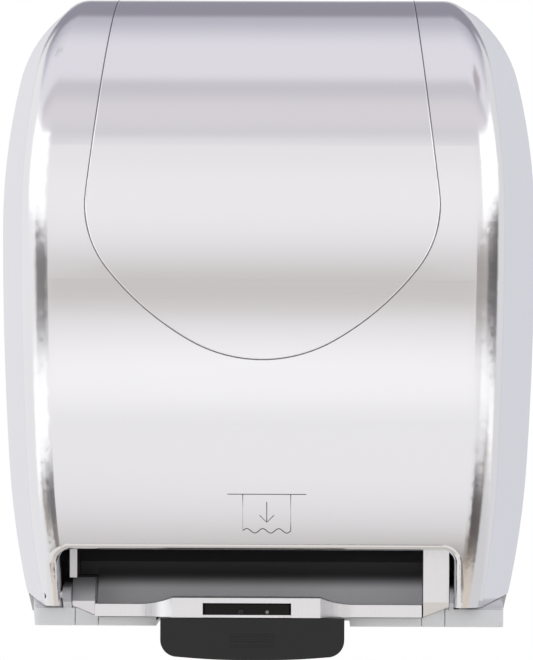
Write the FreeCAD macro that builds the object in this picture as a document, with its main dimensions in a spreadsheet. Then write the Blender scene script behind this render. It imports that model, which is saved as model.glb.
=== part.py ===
"""Automatic roll towel dispenser, wall mounted, with a push lever as its manual drive.

Frame, in millimetres: X to the viewer's right, Y into the wall, Z up. The origin is the centre of
the four wall screw holes on the back plane, so the whole object lies at Y below 0.
"""
import FreeCAD
import Part
import Sketcher
import math
import os
import re

Vector = FreeCAD.Vector
Rotation = FreeCAD.Rotation

# Driving dimensions
SIZES = {
    # case, seen from the front
    "half_width": 165, "case_depth": 231, "case_top": 199, "belly_height": 63,
    "upper_bow": 390, "lower_bow": 2300, "chin_bow": 540, "chin_start": -81,
    "corner_bow": 76, "corner_turn": 13.5, "corner_rise": 8, "flare": 25,
    # case, seen from the side
    "crown_height": 30, "face_bow": 450, "lower_face_bow": 700, "shoulder_bow": 110,
    "rim_depth": 30, "cover_foot": -162.3, "wall": 2.5, "edge_round": 17,
    # rear housing
    "rear_step": 0.6, "back_wall": 3, "screw_span_across": 178, "screw_span_up": 240,
    "screw_hole": 5.5, "screw_boss": 16, "boss_height": 3, "rib_height": 8, "rib_wall": 2,
    "rib_place": 60, "rib_low": -95, "rib_high": 185,
    # base tray
    "base_bottom": -174.2, "base_top": -163.8, "tray_left": -134, "tray_right": 142,
    "tray_rear_half": 145, "tray_lip": 5, "tray_corner": 4, "apron_top": -169.1,
    "notch_left": -62.6, "notch_right": 50.4, "notch_slant": 1.5, "facet_left": -110.3,
    "facet_right": 107.6, "facet_width": 13.7, "facet_rise": 5.8, "groove": 0.6, "groove_depth": 2,
    # throat and the flush panel of the cover
    "throat_left": -119.4, "throat_right": 113, "throat_top": -128.4, "throat_corner": 7,
    "throat_lean": 2.5, "bead_wall": 5.5, "bead_depth": 14, "bead_round": 4.5, "seam_gap": 0.4,
    "panel_gap": 0.65, "panel_flange": 5, "panel_bottom": -16.9, "panel_nose_bow": 85,
    "panel_cheek_bow": 168, "panel_corner_bow": 60, "nose_turn": 30, "cheek_turn": 52,
    "rail_turn": 97, "panel_wall": 2, "panel_rear": -42,
    # cover hinge, lock and switch magnet
    "hinge_height": -155.5, "hinge_pin": 5, "bracket_nose": 4.5, "hinge_room": 8,
    "lock_depth": -52, "lock_across": 12, "plug_across": 8, "lock_bottom": 177.3, "bezel": 17,
    "bezel_wall": 0.8, "nut_height": 4, "cam_reach": 18, "cam_width": 8, "cam_wall": 3,
    "strike_left": 9, "strike_width": 8, "strike_wall": 2, "strike_rise": 6, "magnet_left": 60,
    "magnet_length": 10, "magnet_size": 5,
    # towel module
    "channel_left": -109.5, "channel_right": 94.8, "cheek_wall": 4.3, "cheek_top": -120,
    "pillar_width": 13.6, "pillar_foot": -159.4, "pillar_bend": -125, "hood_low": -100,
    "hood_top": -45, "module_top": -40, "skin": 1.5, "ledge_height": -146.1, "block_right": -98.8,
    "chute_wall": 2, "chute_top": -112, "chute_bend": -138, "chute_bow": 24.8, "fascia_wall": 2.5,
    "fascia_top": -58, "fascia_bottom": -122, "tear_left": -106, "tear_length": 196,
    "tear_top": -118, "tear_bottom": -129.5, "tear_wall": 0.8, "tear_pitch": 7, "tear_tooth": 3,
    "plate_wall": 2, "plate_drop": 8, "screw_head": 6, "head_height": 1.8,
    # lip with the sensor
    "lip_left": -98.3, "lip_right": 93.9, "lip_bottom": -168.3, "lip_side_top": -161,
    "lip_nose_top": -156.8, "nose_left": -52.6, "nose_right": 34.4, "ramp": 19.6, "lip_wall": 2,
    "recess_left": -34.6, "recess_right": 17.3, "recess_bottom": -167.2, "recess_top": -159.8,
    "recess_depth": 1, "window_wall": 1.5, "lens_across": -12.1, "led_across": 3.2,
    "lens_height": -165, "lens_size": 4.2, "led_size": 2,
    # feed drive
    "feed_height": -85, "feed_shaft_across": 10, "sleeve_across": 34, "sleeve_length": 26,
    "sleeve_first": -91, "sleeve_pitch": 36, "sleeve_last": 73, "bush_across": 16,
    "bush_flange": 20, "bush_rim": 2, "gear_module": 1, "tooth_share": 0.4, "gear_face": 4.5,
    "gear_gap": 1, "gear_start": 97.3, "idler_turn": 26.8, "pinion_turn": 25.9,
    "idler_pin_across": 4, "idler_hub": 11, "motor_shaft": 3, "motor_across": 28,
    "motor_length": 38, "motor_boss": 12, "motor_cap": 3, "running_fit": 0.05, "gap": 0.3,
    # pinch rollers
    "pinch_across": 16, "pinch_shaft": 5, "pinch_length": 18, "carriage_height": -56,
    "carriage_shaft_across": 4, "carriage_left": -107, "carriage_right": 89.5, "carriage_wall": 2,
    "carriage_foot": -92, "ear_wall": 3, "knuckle_length": 20, "knuckle_across": 8,
    # push lever
    "lever_boss": 14, "lever_shaft_across": 6, "clutch_low": 41.5, "clutch_wall": 5,
    "clutch_hub": 16, "lever_left": -59.5, "lever_right": 48.5, "paddle_top": -168.7,
    "lever_bottom": -193.5, "paddle_wall": 3, "paddle_rim": 9, "paddle_corner": 10,
    "paddle_bow": 485, "web_top": -169, "web_wall": 3, "arm_low": -56, "arm_wall": 5,
    "arm_foot": 14, "arm_head": 12, "tail_reach": 22, "tail_drop": 6, "spring_across": 7,
    "spring_wire": 1, "spring_turns": 5,
    # roll holder
    "roll_depth": -118, "roll_height": 75, "arm_thick": 3.5, "arm_left": -118, "arm_right": 103.5,
    "hub_across": 38, "hub_end": 32, "hub_flange": 48, "hub_flange_wall": 3, "hub_length": 12,
    "arm_pin": 12, "arm_root": 43.4, "arm_tip": 30, "arm_window": 18, "arm_hinge_depth": -14,
    "arm_hinge_pin": 5, "arm_knuckle": 10, "lug_wall": 4, "lug_edge": 1,
    # batteries
    "box_left": -95, "box_right": 35, "box_front": -77, "box_height": 40, "box_wall": 2,
    "cell_across": 33.2, "cell_length": 61.5, "cell_gap": 0.8, "contact_wall": 0.6,
    "door_wall": 2.5, "door_pin": 3, "door_knuckle": 5, "door_hinge_depth": -9,
    # controls
    "control_left": 38, "control_right": 92, "control_bottom": -118, "control_top": -66,
    "control_wall": 2, "control_round": 3, "board_wall": 1.6, "button_across": 12,
    "button_rise": 2.5, "button_rim": 1, "button_place": 52, "button_height": -92,
    "switch_place": 74, "switch_travel": 3, "switch_width": 5, "switch_height": 4,
    "switch_upper": -82, "switch_lower": -102, "slider_wall": 1.5,
}

# Depths that are measured back from the foremost point of the case, so that they follow its depth
SETBACKS = {
    "tray_front": 41, "notch_rear": 103, "hinge_depth": 34, "cheek_front": 45, "block_front": 48,
    "module_front": 81, "module_rear": 176, "pillar_front": 35, "hood_depth": 81,
    "chute_front": 85, "chute_back": 79, "fascia_front": 67, "plate_front": 103, "lip_front": 33,
    "lip_nose": 24, "lip_rear": 45, "feed_depth": 111, "carriage_depth": 79, "carriage_plate": 74,
    "lever_depth": 103, "paddle_front": 25, "web_rear": 81, "spring_depth": 121,
    "control_front": 31, "board_front": 57,
}

TEETH = {"roller": 42, "idler_large": 48, "idler_small": 14, "pinion": 12, "clutch": 28, "sector": 67}
SECTOR_TEETH, SECTOR_BEFORE, SECTOR_EDGE = 7, 5, 0.6
DEDENDUM, PRESSURE_ANGLE = 1.25, 20

doc = FreeCAD.newDocument("RollTowelDispenser")
sheet = doc.addObject("Spreadsheet::Sheet", "Dims")
for row, (alias, number) in enumerate({**SIZES, **SETBACKS}.items(), start=1):
    sheet.set(f"A{row}", alias)
    sheet.set(f"B{row}", str(number))
    sheet.setAlias(f"B{row}", alias)
doc.recompute()

sub_parts = []


def bound(text):
    """Return an expression in which every driving dimension is read from the sheet."""
    def read(word):
        """Return what a word of the expression stands for."""
        name = word.group()
        if name in SETBACKS:
            return f"(Dims.{name} - Dims.case_depth)"
        return f"Dims.{name}" if name in SIZES else name

    return re.sub(r"[a-z][a-z_]*", read, str(text))


def value(text):
    """Return the number that an expression on the driving dimensions gives."""
    return float(sheet.evalExpression(bound(text)))


def bind(item, **texts):
    """Bind properties of an object to expressions on the driving dimensions."""
    for name, text in texts.items():
        item.setExpression(name, bound(text))
    return item


def place(item, across="0", depth="0", height="0"):
    """Bind an object's position to three expressions."""
    for axis, text in zip("xyz", (across, depth, height)):
        item.setExpression(f"Placement.Base.{axis}", bound(text))
    return item


def sub_part(item, label):
    """Name a finished piece and list it for export."""
    item.Label = label
    sub_parts.append(item)
    return item


FRONT = Rotation(Vector(1, 0, 0), 90)
SIDE = Rotation(Vector(1, 1, 1), 120)
PLAN = Rotation()
AXIS_TURN = {"x": Rotation(Vector(0, 1, 0), 90), "y": Rotation(Vector(1, 0, 0), -90), "z": PLAN}


def draw(sketch, points, bows=None):
    """Draw a closed outline. bows maps an edge's index to its radius, below 0 where it is hollow."""
    bows = bows or {}
    spots = [Vector(value(x), value(y), 0) for x, y in points]
    ends = []
    for index, start in enumerate(spots):
        stop = spots[(index + 1) % len(spots)]
        if index not in bows:
            sketch.addGeometry(Part.LineSegment(start, stop))
            ends.append((1, 2))
            continue
        radius = value(bows[index])
        chord = stop.sub(start)
        reach = math.sqrt(max(radius ** 2 - (chord.Length / 2) ** 2, 0))
        side = Vector(-chord.y, chord.x, 0).normalize().multiply(math.copysign(reach, radius))
        centre = start.add(stop).multiply(0.5).add(side)
        first, last = (start, stop) if radius > 0 else (stop, start)
        turn = [math.atan2(spot.y - centre.y, spot.x - centre.x) for spot in (first, last)]
        circle = Part.Circle(centre, Vector(0, 0, 1), abs(radius))
        full_turn = 2 * math.pi if turn[1] < turn[0] else 0
        sketch.addGeometry(Part.ArcOfCircle(circle, turn[0], turn[1] + full_turn))
        ends.append((1, 2) if radius > 0 else (2, 1))
    for index, (x, y) in enumerate(points):
        before = (index - 1) % len(points)
        sketch.addConstraint(Sketcher.Constraint("Coincident", before, ends[before][1], index, ends[index][0]))
        for kind, text, number in (("DistanceX", x, spots[index].x), ("DistanceY", y, spots[index].y)):
            datum = sketch.addConstraint(Sketcher.Constraint(kind, -1, 1, index, ends[index][0], number))
            sketch.setExpression(f"Constraints[{datum}]", bound(text))
    for index, text in bows.items():
        datum = sketch.addConstraint(Sketcher.Constraint("Radius", index, abs(value(text))))
        sketch.setExpression(f"Constraints[{datum}]", bound(f"abs({text})"))
    return sketch


def outline(name, turn, points, bows=None, across="0", depth="0", height="0"):
    """Return a sketch standing free in the document, turned to face one of the three views."""
    sketch = doc.addObject("Sketcher::SketchObject", name)
    sketch.Placement = FreeCAD.Placement(Vector(), turn)
    place(sketch, across, depth, height)
    return draw(sketch, points, bows)


def extrude(name, sketch, length, direction=None, back="0"):
    """Return the prism of a sketch, along its own normal or along a given direction."""
    prism = doc.addObject("Part::Extrusion", name)
    prism.Base = sketch
    prism.Solid = True
    prism.DirMode = "Custom" if direction else "Normal"
    if direction:
        prism.Dir = Vector(*[value(text) for text in direction])
    return bind(prism, LengthFwd=length, LengthRev=back)


def front_prism(name, points, y_far, y_near, bows=None):
    """Return a prism whose outline is drawn in X and Z, between two depths."""
    sketch = outline(name + "_outline", FRONT, points, bows, depth=y_near)
    return extrude(name, sketch, "0", back=f"({y_far}) - ({y_near})")


def side_prism(name, points, x_low, x_high, bows=None):
    """Return a prism whose outline is drawn in Y and Z, between two places across."""
    sketch = outline(name + "_outline", SIDE, points, bows, across=x_low)
    return extrude(name, sketch, f"({x_high}) - ({x_low})")


def plan_prism(name, points, z_low, z_high, bows=None):
    """Return a prism whose outline is drawn in X and Y, between two heights."""
    sketch = outline(name + "_outline", PLAN, points, bows, height=z_low)
    return extrude(name, sketch, f"({z_high}) - ({z_low})")


def block(name, x, y, z):
    """Return a box given by its low and high expression along each axis."""
    item = doc.addObject("Part::Box", name)
    bind(item, Length=f"({x[1]}) - ({x[0]})", Width=f"({y[1]}) - ({y[0]})", Height=f"({z[1]}) - ({z[0]})")
    return place(item, x[0], y[0], z[0])


def rod(name, axis, radius, low, high, first, second):
    """Return a cylinder along x, y or z between two places, at the two other coordinates."""
    item = doc.addObject("Part::Cylinder", name)
    item.Placement = FreeCAD.Placement(Vector(), AXIS_TURN[axis])
    bind(item, Radius=radius, Height=f"({high}) - ({low})")
    spots = {"x": (low, first, second), "y": (first, low, second), "z": (first, second, low)}
    return place(item, *spots[axis])


def cone(name, axis, wide, narrow, low, high, first, second):
    """Return a cone along x, y or z, wide at its low end."""
    item = doc.addObject("Part::Cone", name)
    item.Placement = FreeCAD.Placement(Vector(), AXIS_TURN[axis])
    bind(item, Radius1=wide, Radius2=narrow, Height=f"({high}) - ({low})")
    spots = {"x": (low, first, second), "y": (first, low, second), "z": (first, second, low)}
    return place(item, *spots[axis])


def fuse(name, *items):
    """Return the union of several solids."""
    union = doc.addObject("Part::MultiFuse", name)
    union.Shapes = list(items)
    union.Refine = True
    return union


def common(name, *items):
    """Return the space that several solids share."""
    shared = doc.addObject("Part::MultiCommon", name)
    shared.Shapes = list(items)
    return shared


def cut(name, base, *tools):
    """Return a solid less one or more tools."""
    item = doc.addObject("Part::Cut", name)
    item.Base = base
    item.Tool = tools[0] if len(tools) == 1 else fuse(name + "_tools", *tools)
    item.Refine = True
    return item


def group(name, *items):
    """Return separate solids kept as one piece."""
    item = doc.addObject("Part::Compound", name)
    item.Links = list(items)
    return item


def rounded(name, base, radius, wanted):
    """Return a solid with a fillet on each edge that the test picks."""
    doc.recompute()
    item = doc.addObject("Part::Fillet", name)
    item.Base = base
    size = value(radius)
    item.Edges = [(index, size, size) for index, edge in enumerate(base.Shape.Edges, 1) if wanted(edge)]
    return item


def origin_plane(body, role):
    """Return one of a body's own three planes."""
    return next(item for item in body.Origin.OriginFeatures if item.Role == role)


def body_sketch(body, name, role, offset="0"):
    """Return an empty sketch on one of a body's own planes, moved along its normal."""
    sketch = body.newObject("Sketcher::SketchObject", name)
    sketch.AttachmentSupport = [(origin_plane(body, role), "")]
    sketch.MapMode = "FlatFace"
    sketch.setExpression("AttachmentOffset.Base.z", bound(offset))
    return sketch


def pad(body, name, sketch, length):
    """Pad a sketch along its normal."""
    feature = body.newObject("PartDesign::Pad", name)
    feature.Profile = sketch
    return bind(feature, Length=length)


# Case: one block shape serves the cover's outside, its inside and the layers between

def case_profile(name, inset, back, foot):
    """Return the side profile of the case, a given wall inside the outer skin."""
    face_y = "(face_bow - case_depth)"
    lower_y = "(lower_face_bow - case_depth)"
    shoulder_z = "(case_top - shoulder_bow)"
    shoulder_y = (f"({face_y} - sqrt((face_bow - shoulder_bow)^2 - ({shoulder_z} - crown_height)^2))")
    share = f"((face_bow - ({inset})) / (face_bow - shoulder_bow))"
    points = [
        (back, f"case_top - ({inset})"),
        (shoulder_y, f"case_top - ({inset})"),
        (f"{face_y} + {share} * ({shoulder_y} - {face_y})",
         f"crown_height + {share} * ({shoulder_z} - crown_height)"),
        (f"({inset}) - case_depth", "crown_height"),
        (f"{lower_y} - sqrt((lower_face_bow - ({inset}))^2 - (({foot}) - crown_height)^2)", foot),
        (back, foot),
    ]
    bows = {1: f"shoulder_bow - ({inset})", 2: f"face_bow - ({inset})", 3: f"lower_face_bow - ({inset})"}
    return outline(name, SIDE, points, bows, across="-2 * half_width")


def case_outline(name, inset, top, foot, depth):
    """Return the right half of the case's front outline, with its left side left far out."""
    bow_x = "(half_width - upper_bow)"
    corner_x = f"({bow_x} + (upper_bow - corner_bow) * cos(corner_turn))"
    corner_z = "(belly_height + (upper_bow - corner_bow) * sin(corner_turn))"
    lower_x = "(half_width - lower_bow)"
    sway = "((belly_height - chin_start) / lower_bow)"
    chin_x = f"({lower_x} + (lower_bow - chin_bow) * sqrt(1 - {sway}^2))"
    chin_z = f"(belly_height - (lower_bow - chin_bow) * {sway})"
    far = "-2 * half_width"
    points = [
        (far, foot),
        (f"{chin_x} + sqrt((chin_bow - ({inset}))^2 - (({foot}) - {chin_z})^2)", foot),
        (f"{lower_x} + (lower_bow - ({inset})) * sqrt(1 - {sway}^2)",
         f"belly_height - (lower_bow - ({inset})) * {sway}"),
        (f"half_width - ({inset})", "belly_height"),
        (f"{bow_x} + (upper_bow - ({inset})) * cos(corner_turn)",
         f"belly_height + (upper_bow - ({inset})) * sin(corner_turn)"),
        (f"{corner_x} + sqrt((corner_bow - ({inset}))^2 - (({top}) - {corner_z})^2)", top),
        (far, top),
    ]
    bows = {1: f"chin_bow - ({inset})", 2: f"lower_bow - ({inset})", 3: f"upper_bow - ({inset})",
            4: f"corner_bow - ({inset})"}
    return outline(name, FRONT, points, bows, depth=depth)


def mirrored(name, source):
    """Return a solid mirrored from right to left."""
    item = doc.addObject("Part::Mirroring", name)
    item.Source = source
    item.Normal = Vector(1, 0, 0)
    return item


def case_block(name, inset, back, foot):
    """Return the case's block, with its sides flaring towards the wall and its front edges rounded."""
    profile = extrude(name + "_profile", case_profile(name + "_side", inset, back, foot), "4 * half_width")
    sketch = case_outline(name + "_front", inset, f"case_top + corner_rise - ({inset})", foot, "-rim_depth")
    lean = ("-flare", "rim_depth - case_depth", "0")
    right = extrude(name + "_right", sketch, "case_depth + 2 * flare", lean, back="2 * rim_depth")
    square = common(name + "_square", profile, right, mirrored(name + "_left", right))
    radius = value(f"edge_round - ({inset})")
    if radius < 2:
        return square
    top = value(f"case_top - ({inset})")
    rear, low = value(back), value(foot)

    def front_edge(edge):
        """Tell whether an edge lies between the profile and a side of the case."""
        box = edge.BoundBox
        if abs(box.YMin - rear) < 0.01 and box.YLength < 0.01 or box.ZMax < low + 0.01:
            return False
        if isinstance(edge.Curve, Part.Line):
            return abs(box.ZMin - top) < 0.01 and box.YLength > 1
        return box.XLength > 0.01

    return rounded(name, square, f"edge_round - ({inset})", front_edge)


def throat_prism(name, grow, far="-rim_depth"):
    """Return the throat's opening, grown outwards by a wall, as deep as a given plane."""
    left, right = f"throat_left - ({grow})", f"throat_right + ({grow})"
    top, bow = f"throat_top + ({grow})", f"throat_corner + ({grow})"
    low = "cover_foot - 20"
    points = [
        (f"{left} + throat_lean", low), (right, low), (right, f"throat_top - throat_corner"),
        (f"{right} - ({bow})", top), (f"{left} + ({bow})", top), (left, "throat_top - throat_corner"),
    ]
    return front_prism(name, points, far, "-case_depth - 20", {2: bow, 4: bow})


def panel_prism(name, grow):
    """Return the U outline of the cover's flush panel as a prism, grown outwards."""
    nose_z = "(panel_bottom + panel_nose_bow)"
    cheek_x = "((panel_nose_bow - panel_cheek_bow) * sin(nose_turn))"
    cheek_z = f"({nose_z} - (panel_nose_bow - panel_cheek_bow) * cos(nose_turn))"
    corner_x = f"({cheek_x} + (panel_cheek_bow - panel_corner_bow) * sin(cheek_turn))"
    corner_z = f"({cheek_z} - (panel_cheek_bow - panel_corner_bow) * cos(cheek_turn))"

    def arc_end(centre_x, centre_z, bow, turn):
        """Return the point of an arc where its slope has turned by so many degrees."""
        reach = f"({bow} + ({grow}))"
        return (f"{centre_x} + {reach} * sin({turn})", f"{centre_z} - {reach} * cos({turn})")

    nose = arc_end("0", nose_z, "panel_nose_bow", "nose_turn")
    cheek = arc_end(cheek_x, cheek_z, "panel_cheek_bow", "cheek_turn")
    corner = arc_end(corner_x, corner_z, "panel_corner_bow", "rail_turn")
    rise = f"(case_top + 10 - ({corner[1]}))"
    top = (f"{corner[0]} + {rise} * cos(rail_turn) / sin(rail_turn)", "case_top + 10")
    right = [nose, cheek, corner, top]
    left = [(f"-({x})", z) for x, z in reversed(right)]
    bows = {0: f"panel_cheek_bow + ({grow})", 1: f"panel_corner_bow + ({grow})",
            5: f"panel_corner_bow + ({grow})", 6: f"panel_cheek_bow + ({grow})",
            7: f"panel_nose_bow + ({grow})"}
    return front_prism(name, right + left, "panel_rear", "-case_depth - 20", bows)


def make_cover():
    """Model the cover shell, with the bead round its throat, and the flush panel in its face."""
    outer = case_block("cover_outer", "0", "-rim_depth", "cover_foot")
    inner = case_block("cover_inner", "wall", "5", "cover_foot - 10")
    deep = case_block("cover_deep", "bead_depth", "5", "cover_foot - 10")
    under = case_block("panel_under", "wall + gap", "5", "cover_foot - 10")
    behind = case_block("panel_behind", "wall + gap + panel_wall", "5", "cover_foot - 10")
    throat = throat_prism("throat", "0")
    shell = cut("cover_shell", outer, inner, throat)
    bead_zone = cut("bead_zone", throat_prism("throat_grown", "bead_wall", "hinge_depth + hinge_room"),
                    throat_prism("throat_inside", "0"))
    bead = common("bead", cut("bead_layer", outer, deep), bead_zone)
    blank = fuse("cover_blank", shell, bead)

    def throat_edge(edge):
        """Tell whether an edge above the foot is one where the throat breaks through the outer skin."""
        if edge.BoundBox.ZMax < value("cover_foot + 1"):
            return False
        middle = Part.Vertex(edge.valueAt((edge.FirstParameter + edge.LastParameter) / 2))
        return all(item.Shape.Shells[0].distToShape(middle)[0] < 0.01 for item in (outer, throat))

    rolled = rounded("cover_rolled", blank, "bead_round", throat_edge)
    pin_holes = [rod(f"hinge_hole_{side}", "x", "hinge_pin / 2 + running_fit", low, high,
                     "hinge_depth", "hinge_height")
                 for side, low, high in (
                     ("left", "throat_left - bead_wall - 3", "throat_left + throat_lean + 3"),
                     ("right", "throat_right - 3", "throat_right + bead_wall + 3"))]
    opening = panel_prism("panel_opening", "panel_gap / 2")
    sub_part(cut("cover_body", rolled, opening, *pin_holes), "front_cover")

    plug = common("panel_plug", cut("panel_layer", outer, behind), panel_prism("panel_edge", "-panel_gap / 2"))
    flange = common("panel_rim", cut("flange_layer", under, behind),
                    panel_prism("panel_grown", "panel_flange"))
    rear_trim = block("panel_rear_trim", ("-half_width", "half_width"), ("-rim_depth", "10"),
                      ("case_top - 30", "case_top + 20"))
    lock_hole = rod("panel_lock_hole", "z", "lock_across / 2", "case_top - 15", "case_top + 5",
                    "0", "lock_depth")
    sub_part(cut("panel_body", fuse("panel_blank", plug, flange), lock_hole, rear_trim), "cover_panel")


FLOOR = "(base_bottom + wall)"
LEVER_REACH = f"(gear_module * {(TEETH['sector'] + TEETH['clutch']) / 2})"
LEVER_HEIGHT = f"(feed_height - sqrt({LEVER_REACH}^2 - (feed_depth - lever_depth)^2))"
LEVER_TURN = f"(acos((feed_depth - lever_depth) / {LEVER_REACH}) / 1 deg)"
IDLER_REACH = f"gear_module * {(TEETH['roller'] + TEETH['idler_small']) / 2}"
IDLER_DEPTH = f"(feed_depth + {IDLER_REACH} * cos(idler_turn))"
IDLER_HEIGHT = f"(feed_height + {IDLER_REACH} * sin(idler_turn))"
MOTOR_REACH = f"gear_module * {(TEETH['idler_large'] + TEETH['pinion']) / 2}"
MOTOR_DEPTH = f"({IDLER_DEPTH} + {MOTOR_REACH} * cos(pinion_turn))"
MOTOR_HEIGHT = f"({IDLER_HEIGHT} + {MOTOR_REACH} * sin(pinion_turn))"
PINCH_REACH = "((sleeve_across + pinch_across) / 2 + gap)"
PINCH_DEPTH = f"(feed_depth - {PINCH_REACH})"
WALL_LEFT = "(channel_left - cheek_wall)"
LID_RIGHT = "(channel_right + pillar_width + skin)"


def tube(name, axis, outer, inner, low, high, first, second):
    """Return a round piece with a bore right through it."""
    return cut(name, rod(name + "_round", axis, outer, low, high, first, second),
               rod(name + "_bore", axis, inner, f"({low}) - 1", f"({high}) + 1", first, second))


def span(start, first, last, sign):
    """Return the low and high place of a stretch that starts at a place and runs right or left."""
    near, far = (f"({start}) {'+' if sign > 0 else '-'} ({text})" for text in (first, last))
    return (near, far) if sign > 0 else (far, near)


def case_tub(name, inset, top, foot, far, near):
    """Return a straight block with the case's front outline, between two depths."""
    sketch = case_outline(name + "_front", inset, top, foot, near)
    right = extrude(name + "_right", sketch, "0", back=f"({far}) - ({near})")
    return common(name, right, mirrored(name + "_left", right))


def make_rear_housing():
    """Model the tub that is screwed to the wall, with its bosses, ribs and the lugs of the roll arms."""
    near = "seam_gap - rim_depth"
    tub = cut("rear_tub",
              case_tub("rear_block", "rear_step", "case_top - rear_step", "base_bottom", "0", near),
              case_tub("rear_hollow", "rear_step + wall", "case_top - rear_step - wall", FLOOR,
                       "-back_wall", f"{near} - 5"))
    bosses, holes = [], []
    for column, across in enumerate(("-screw_span_across / 2", "screw_span_across / 2")):
        for row, height in enumerate(("-screw_span_up / 2", "screw_span_up / 2")):
            bosses.append(rod(f"screw_boss_{column}{row}", "y", "screw_boss / 2", "-back_wall - boss_height",
                              "-back_wall", across, height))
            holes.append(rod(f"screw_hole_{column}{row}", "y", "screw_hole / 2",
                             "-back_wall - boss_height - 1", "1", across, height))
    ribs = []
    for name, across in (("left", "-rib_place"), ("right", "rib_place")):
        ribs.append(block(f"rib_{name}", (f"{across} - rib_wall / 2", f"{across} + rib_wall / 2"),
                          ("-back_wall - rib_height", "-back_wall"), ("rib_low", "rib_high")))
    for name, height in (("lower", "-screw_span_up / 4"), ("upper", "screw_span_up / 2")):
        ribs.append(block(f"rib_{name}", ("-rib_place", "rib_place"),
                          ("-back_wall - rib_height", "-back_wall"),
                          (f"{height} - rib_wall / 2", f"{height} + rib_wall / 2")))
    lugs = []
    for name, middle in (("left", "arm_left + arm_thick / 2"), ("right", "arm_right - arm_thick / 2")):
        width = "(arm_knuckle / 2 + lug_edge)"
        for end, low in (("low", "roll_height - arm_root / 2 - gap - lug_wall"),
                         ("high", "roll_height + arm_root / 2 + gap")):
            ear = block(f"lug_{name}_{end}", (f"{middle} - {width}", f"{middle} + {width}"),
                        (f"arm_hinge_depth - {width}", "-back_wall"), (low, f"{low} + lug_wall"))
            pin = rod(f"lug_hole_{name}_{end}", "z", "arm_hinge_pin / 2", f"{low} - 1",
                      f"{low} + lug_wall + 1", middle, "arm_hinge_depth")
            lugs.append(cut(f"lug_{name}_{end}_bored", ear, pin))
    housing = cut("rear_body", fuse("rear_blank", tub, *bosses, *ribs, *lugs), *holes)
    sub_part(housing, "rear_housing")
    pins = [rod(f"arm_pin_{name}", "z", "arm_hinge_pin / 2", "roll_height - arm_root / 2 - gap - lug_wall",
                "roll_height + arm_root / 2 + gap + lug_wall", middle, "arm_hinge_depth")
            for name, middle in (("left", "arm_left + arm_thick / 2"), ("right", "arm_right - arm_thick / 2"))]
    sub_part(group("arm_pins", *pins), "arm_hinge_pins")


def tray_plan(name, inset, low, high, rear):
    """Return a block with the tray's plan, a given wall inside its edge."""
    half_rear = f"(tray_rear_half - ({inset}))"
    front = f"tray_front + ({inset})"
    points = [(f"tray_left + ({inset})", front), (f"tray_right - ({inset})", front),
              (half_rear, rear), (f"-{half_rear}", rear)]
    return plan_prism(name, points, low, high)


def make_base_tray():
    """Model the tray that closes the underside, with the stepped and grooved row of its front wall."""
    rear = "seam_gap - rim_depth"
    square = tray_plan("tray_block", "0", "base_bottom", "base_top", rear)
    blank = rounded("tray_rounded", square, "tray_corner",
                    lambda edge: edge.BoundBox.ZLength > 1 and edge.BoundBox.YMax < value("tray_front + 1"))
    behind = block("tray_inside_zone", ("-2 * half_width", "2 * half_width"), ("tray_front + tray_lip", "5"),
                   (FLOOR, "base_top + 5"))
    hollow = common("tray_hollow", tray_plan("tray_inside", "wall", FLOOR, "base_top + 5", "5"), behind)
    row = [
        ("facet_left", "base_top + 5"), ("facet_left", "apron_top + facet_rise"),
        ("facet_left + facet_width", "apron_top"), ("facet_right - facet_width", "apron_top"),
        ("facet_right", "apron_top + facet_rise"), ("facet_right", "base_top + 5"),
    ]
    step = front_prism("tray_step", row, "tray_front + tray_lip + 1", "tray_front - 1")
    notch = front_prism("tray_notch", [("notch_left", "base_bottom - 1"),
                                       ("notch_right + notch_slant", "base_bottom - 1"),
                                       ("notch_right", "base_top + 1"), ("notch_left", "base_top + 1")],
                        "notch_rear", "tray_front - 1")
    grooves = []
    for name, across in (("outer_left", "facet_left"), ("inner_left", "facet_left + facet_width"),
                         ("inner_right", "facet_right - facet_width"), ("outer_right", "facet_right")):
        grooves.append(block(f"groove_{name}", (f"{across} - groove / 2", f"{across} + groove / 2"),
                             ("tray_front - 1", "tray_front + groove_depth"),
                             ("base_bottom - 1", "base_top + 1")))
    sub_part(cut("tray_body", blank, hollow, step, notch, *grooves), "base_tray")


def make_hinge():
    """Model the two brackets in front of the tray and the pins on which the cover turns."""
    inner_left, inner_right = f"{WALL_LEFT} + skin", f"{LID_RIGHT} + gap"
    widths = {"left": ("throat_left + throat_lean - gap", inner_left),
              "right": (inner_right, "throat_right - gap")}
    for side, (low, high) in widths.items():
        plate = side_prism(f"bracket_{side}_plate", [
            ("hinge_depth", "hinge_height - bracket_nose"), ("tray_front", "base_top"),
            ("module_front", "base_top"), ("module_front", "ledge_height"),
            ("hinge_depth", "hinge_height + bracket_nose")], low, high)
        knuckle = rod(f"bracket_{side}_nose", "x", "bracket_nose", low, high, "hinge_depth", "hinge_height")
        hole = rod(f"bracket_{side}_hole", "x", "hinge_pin / 2", f"{low} - 1", f"{high} + 1",
                   "hinge_depth", "hinge_height")
        sub_part(cut(f"bracket_{side}", fuse(f"bracket_{side}_blank", plate, knuckle), hole),
                 f"hinge_bracket_{side}")
    pins = [rod("hinge_pin_left", "x", "hinge_pin / 2", "throat_left - bead_wall", inner_left,
                "hinge_depth", "hinge_height"),
            rod("hinge_pin_right", "x", "hinge_pin / 2", inner_right, "throat_right + bead_wall",
                "hinge_depth", "hinge_height")]
    sub_part(group("cover_pins", *pins), "hinge_pins")


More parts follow.
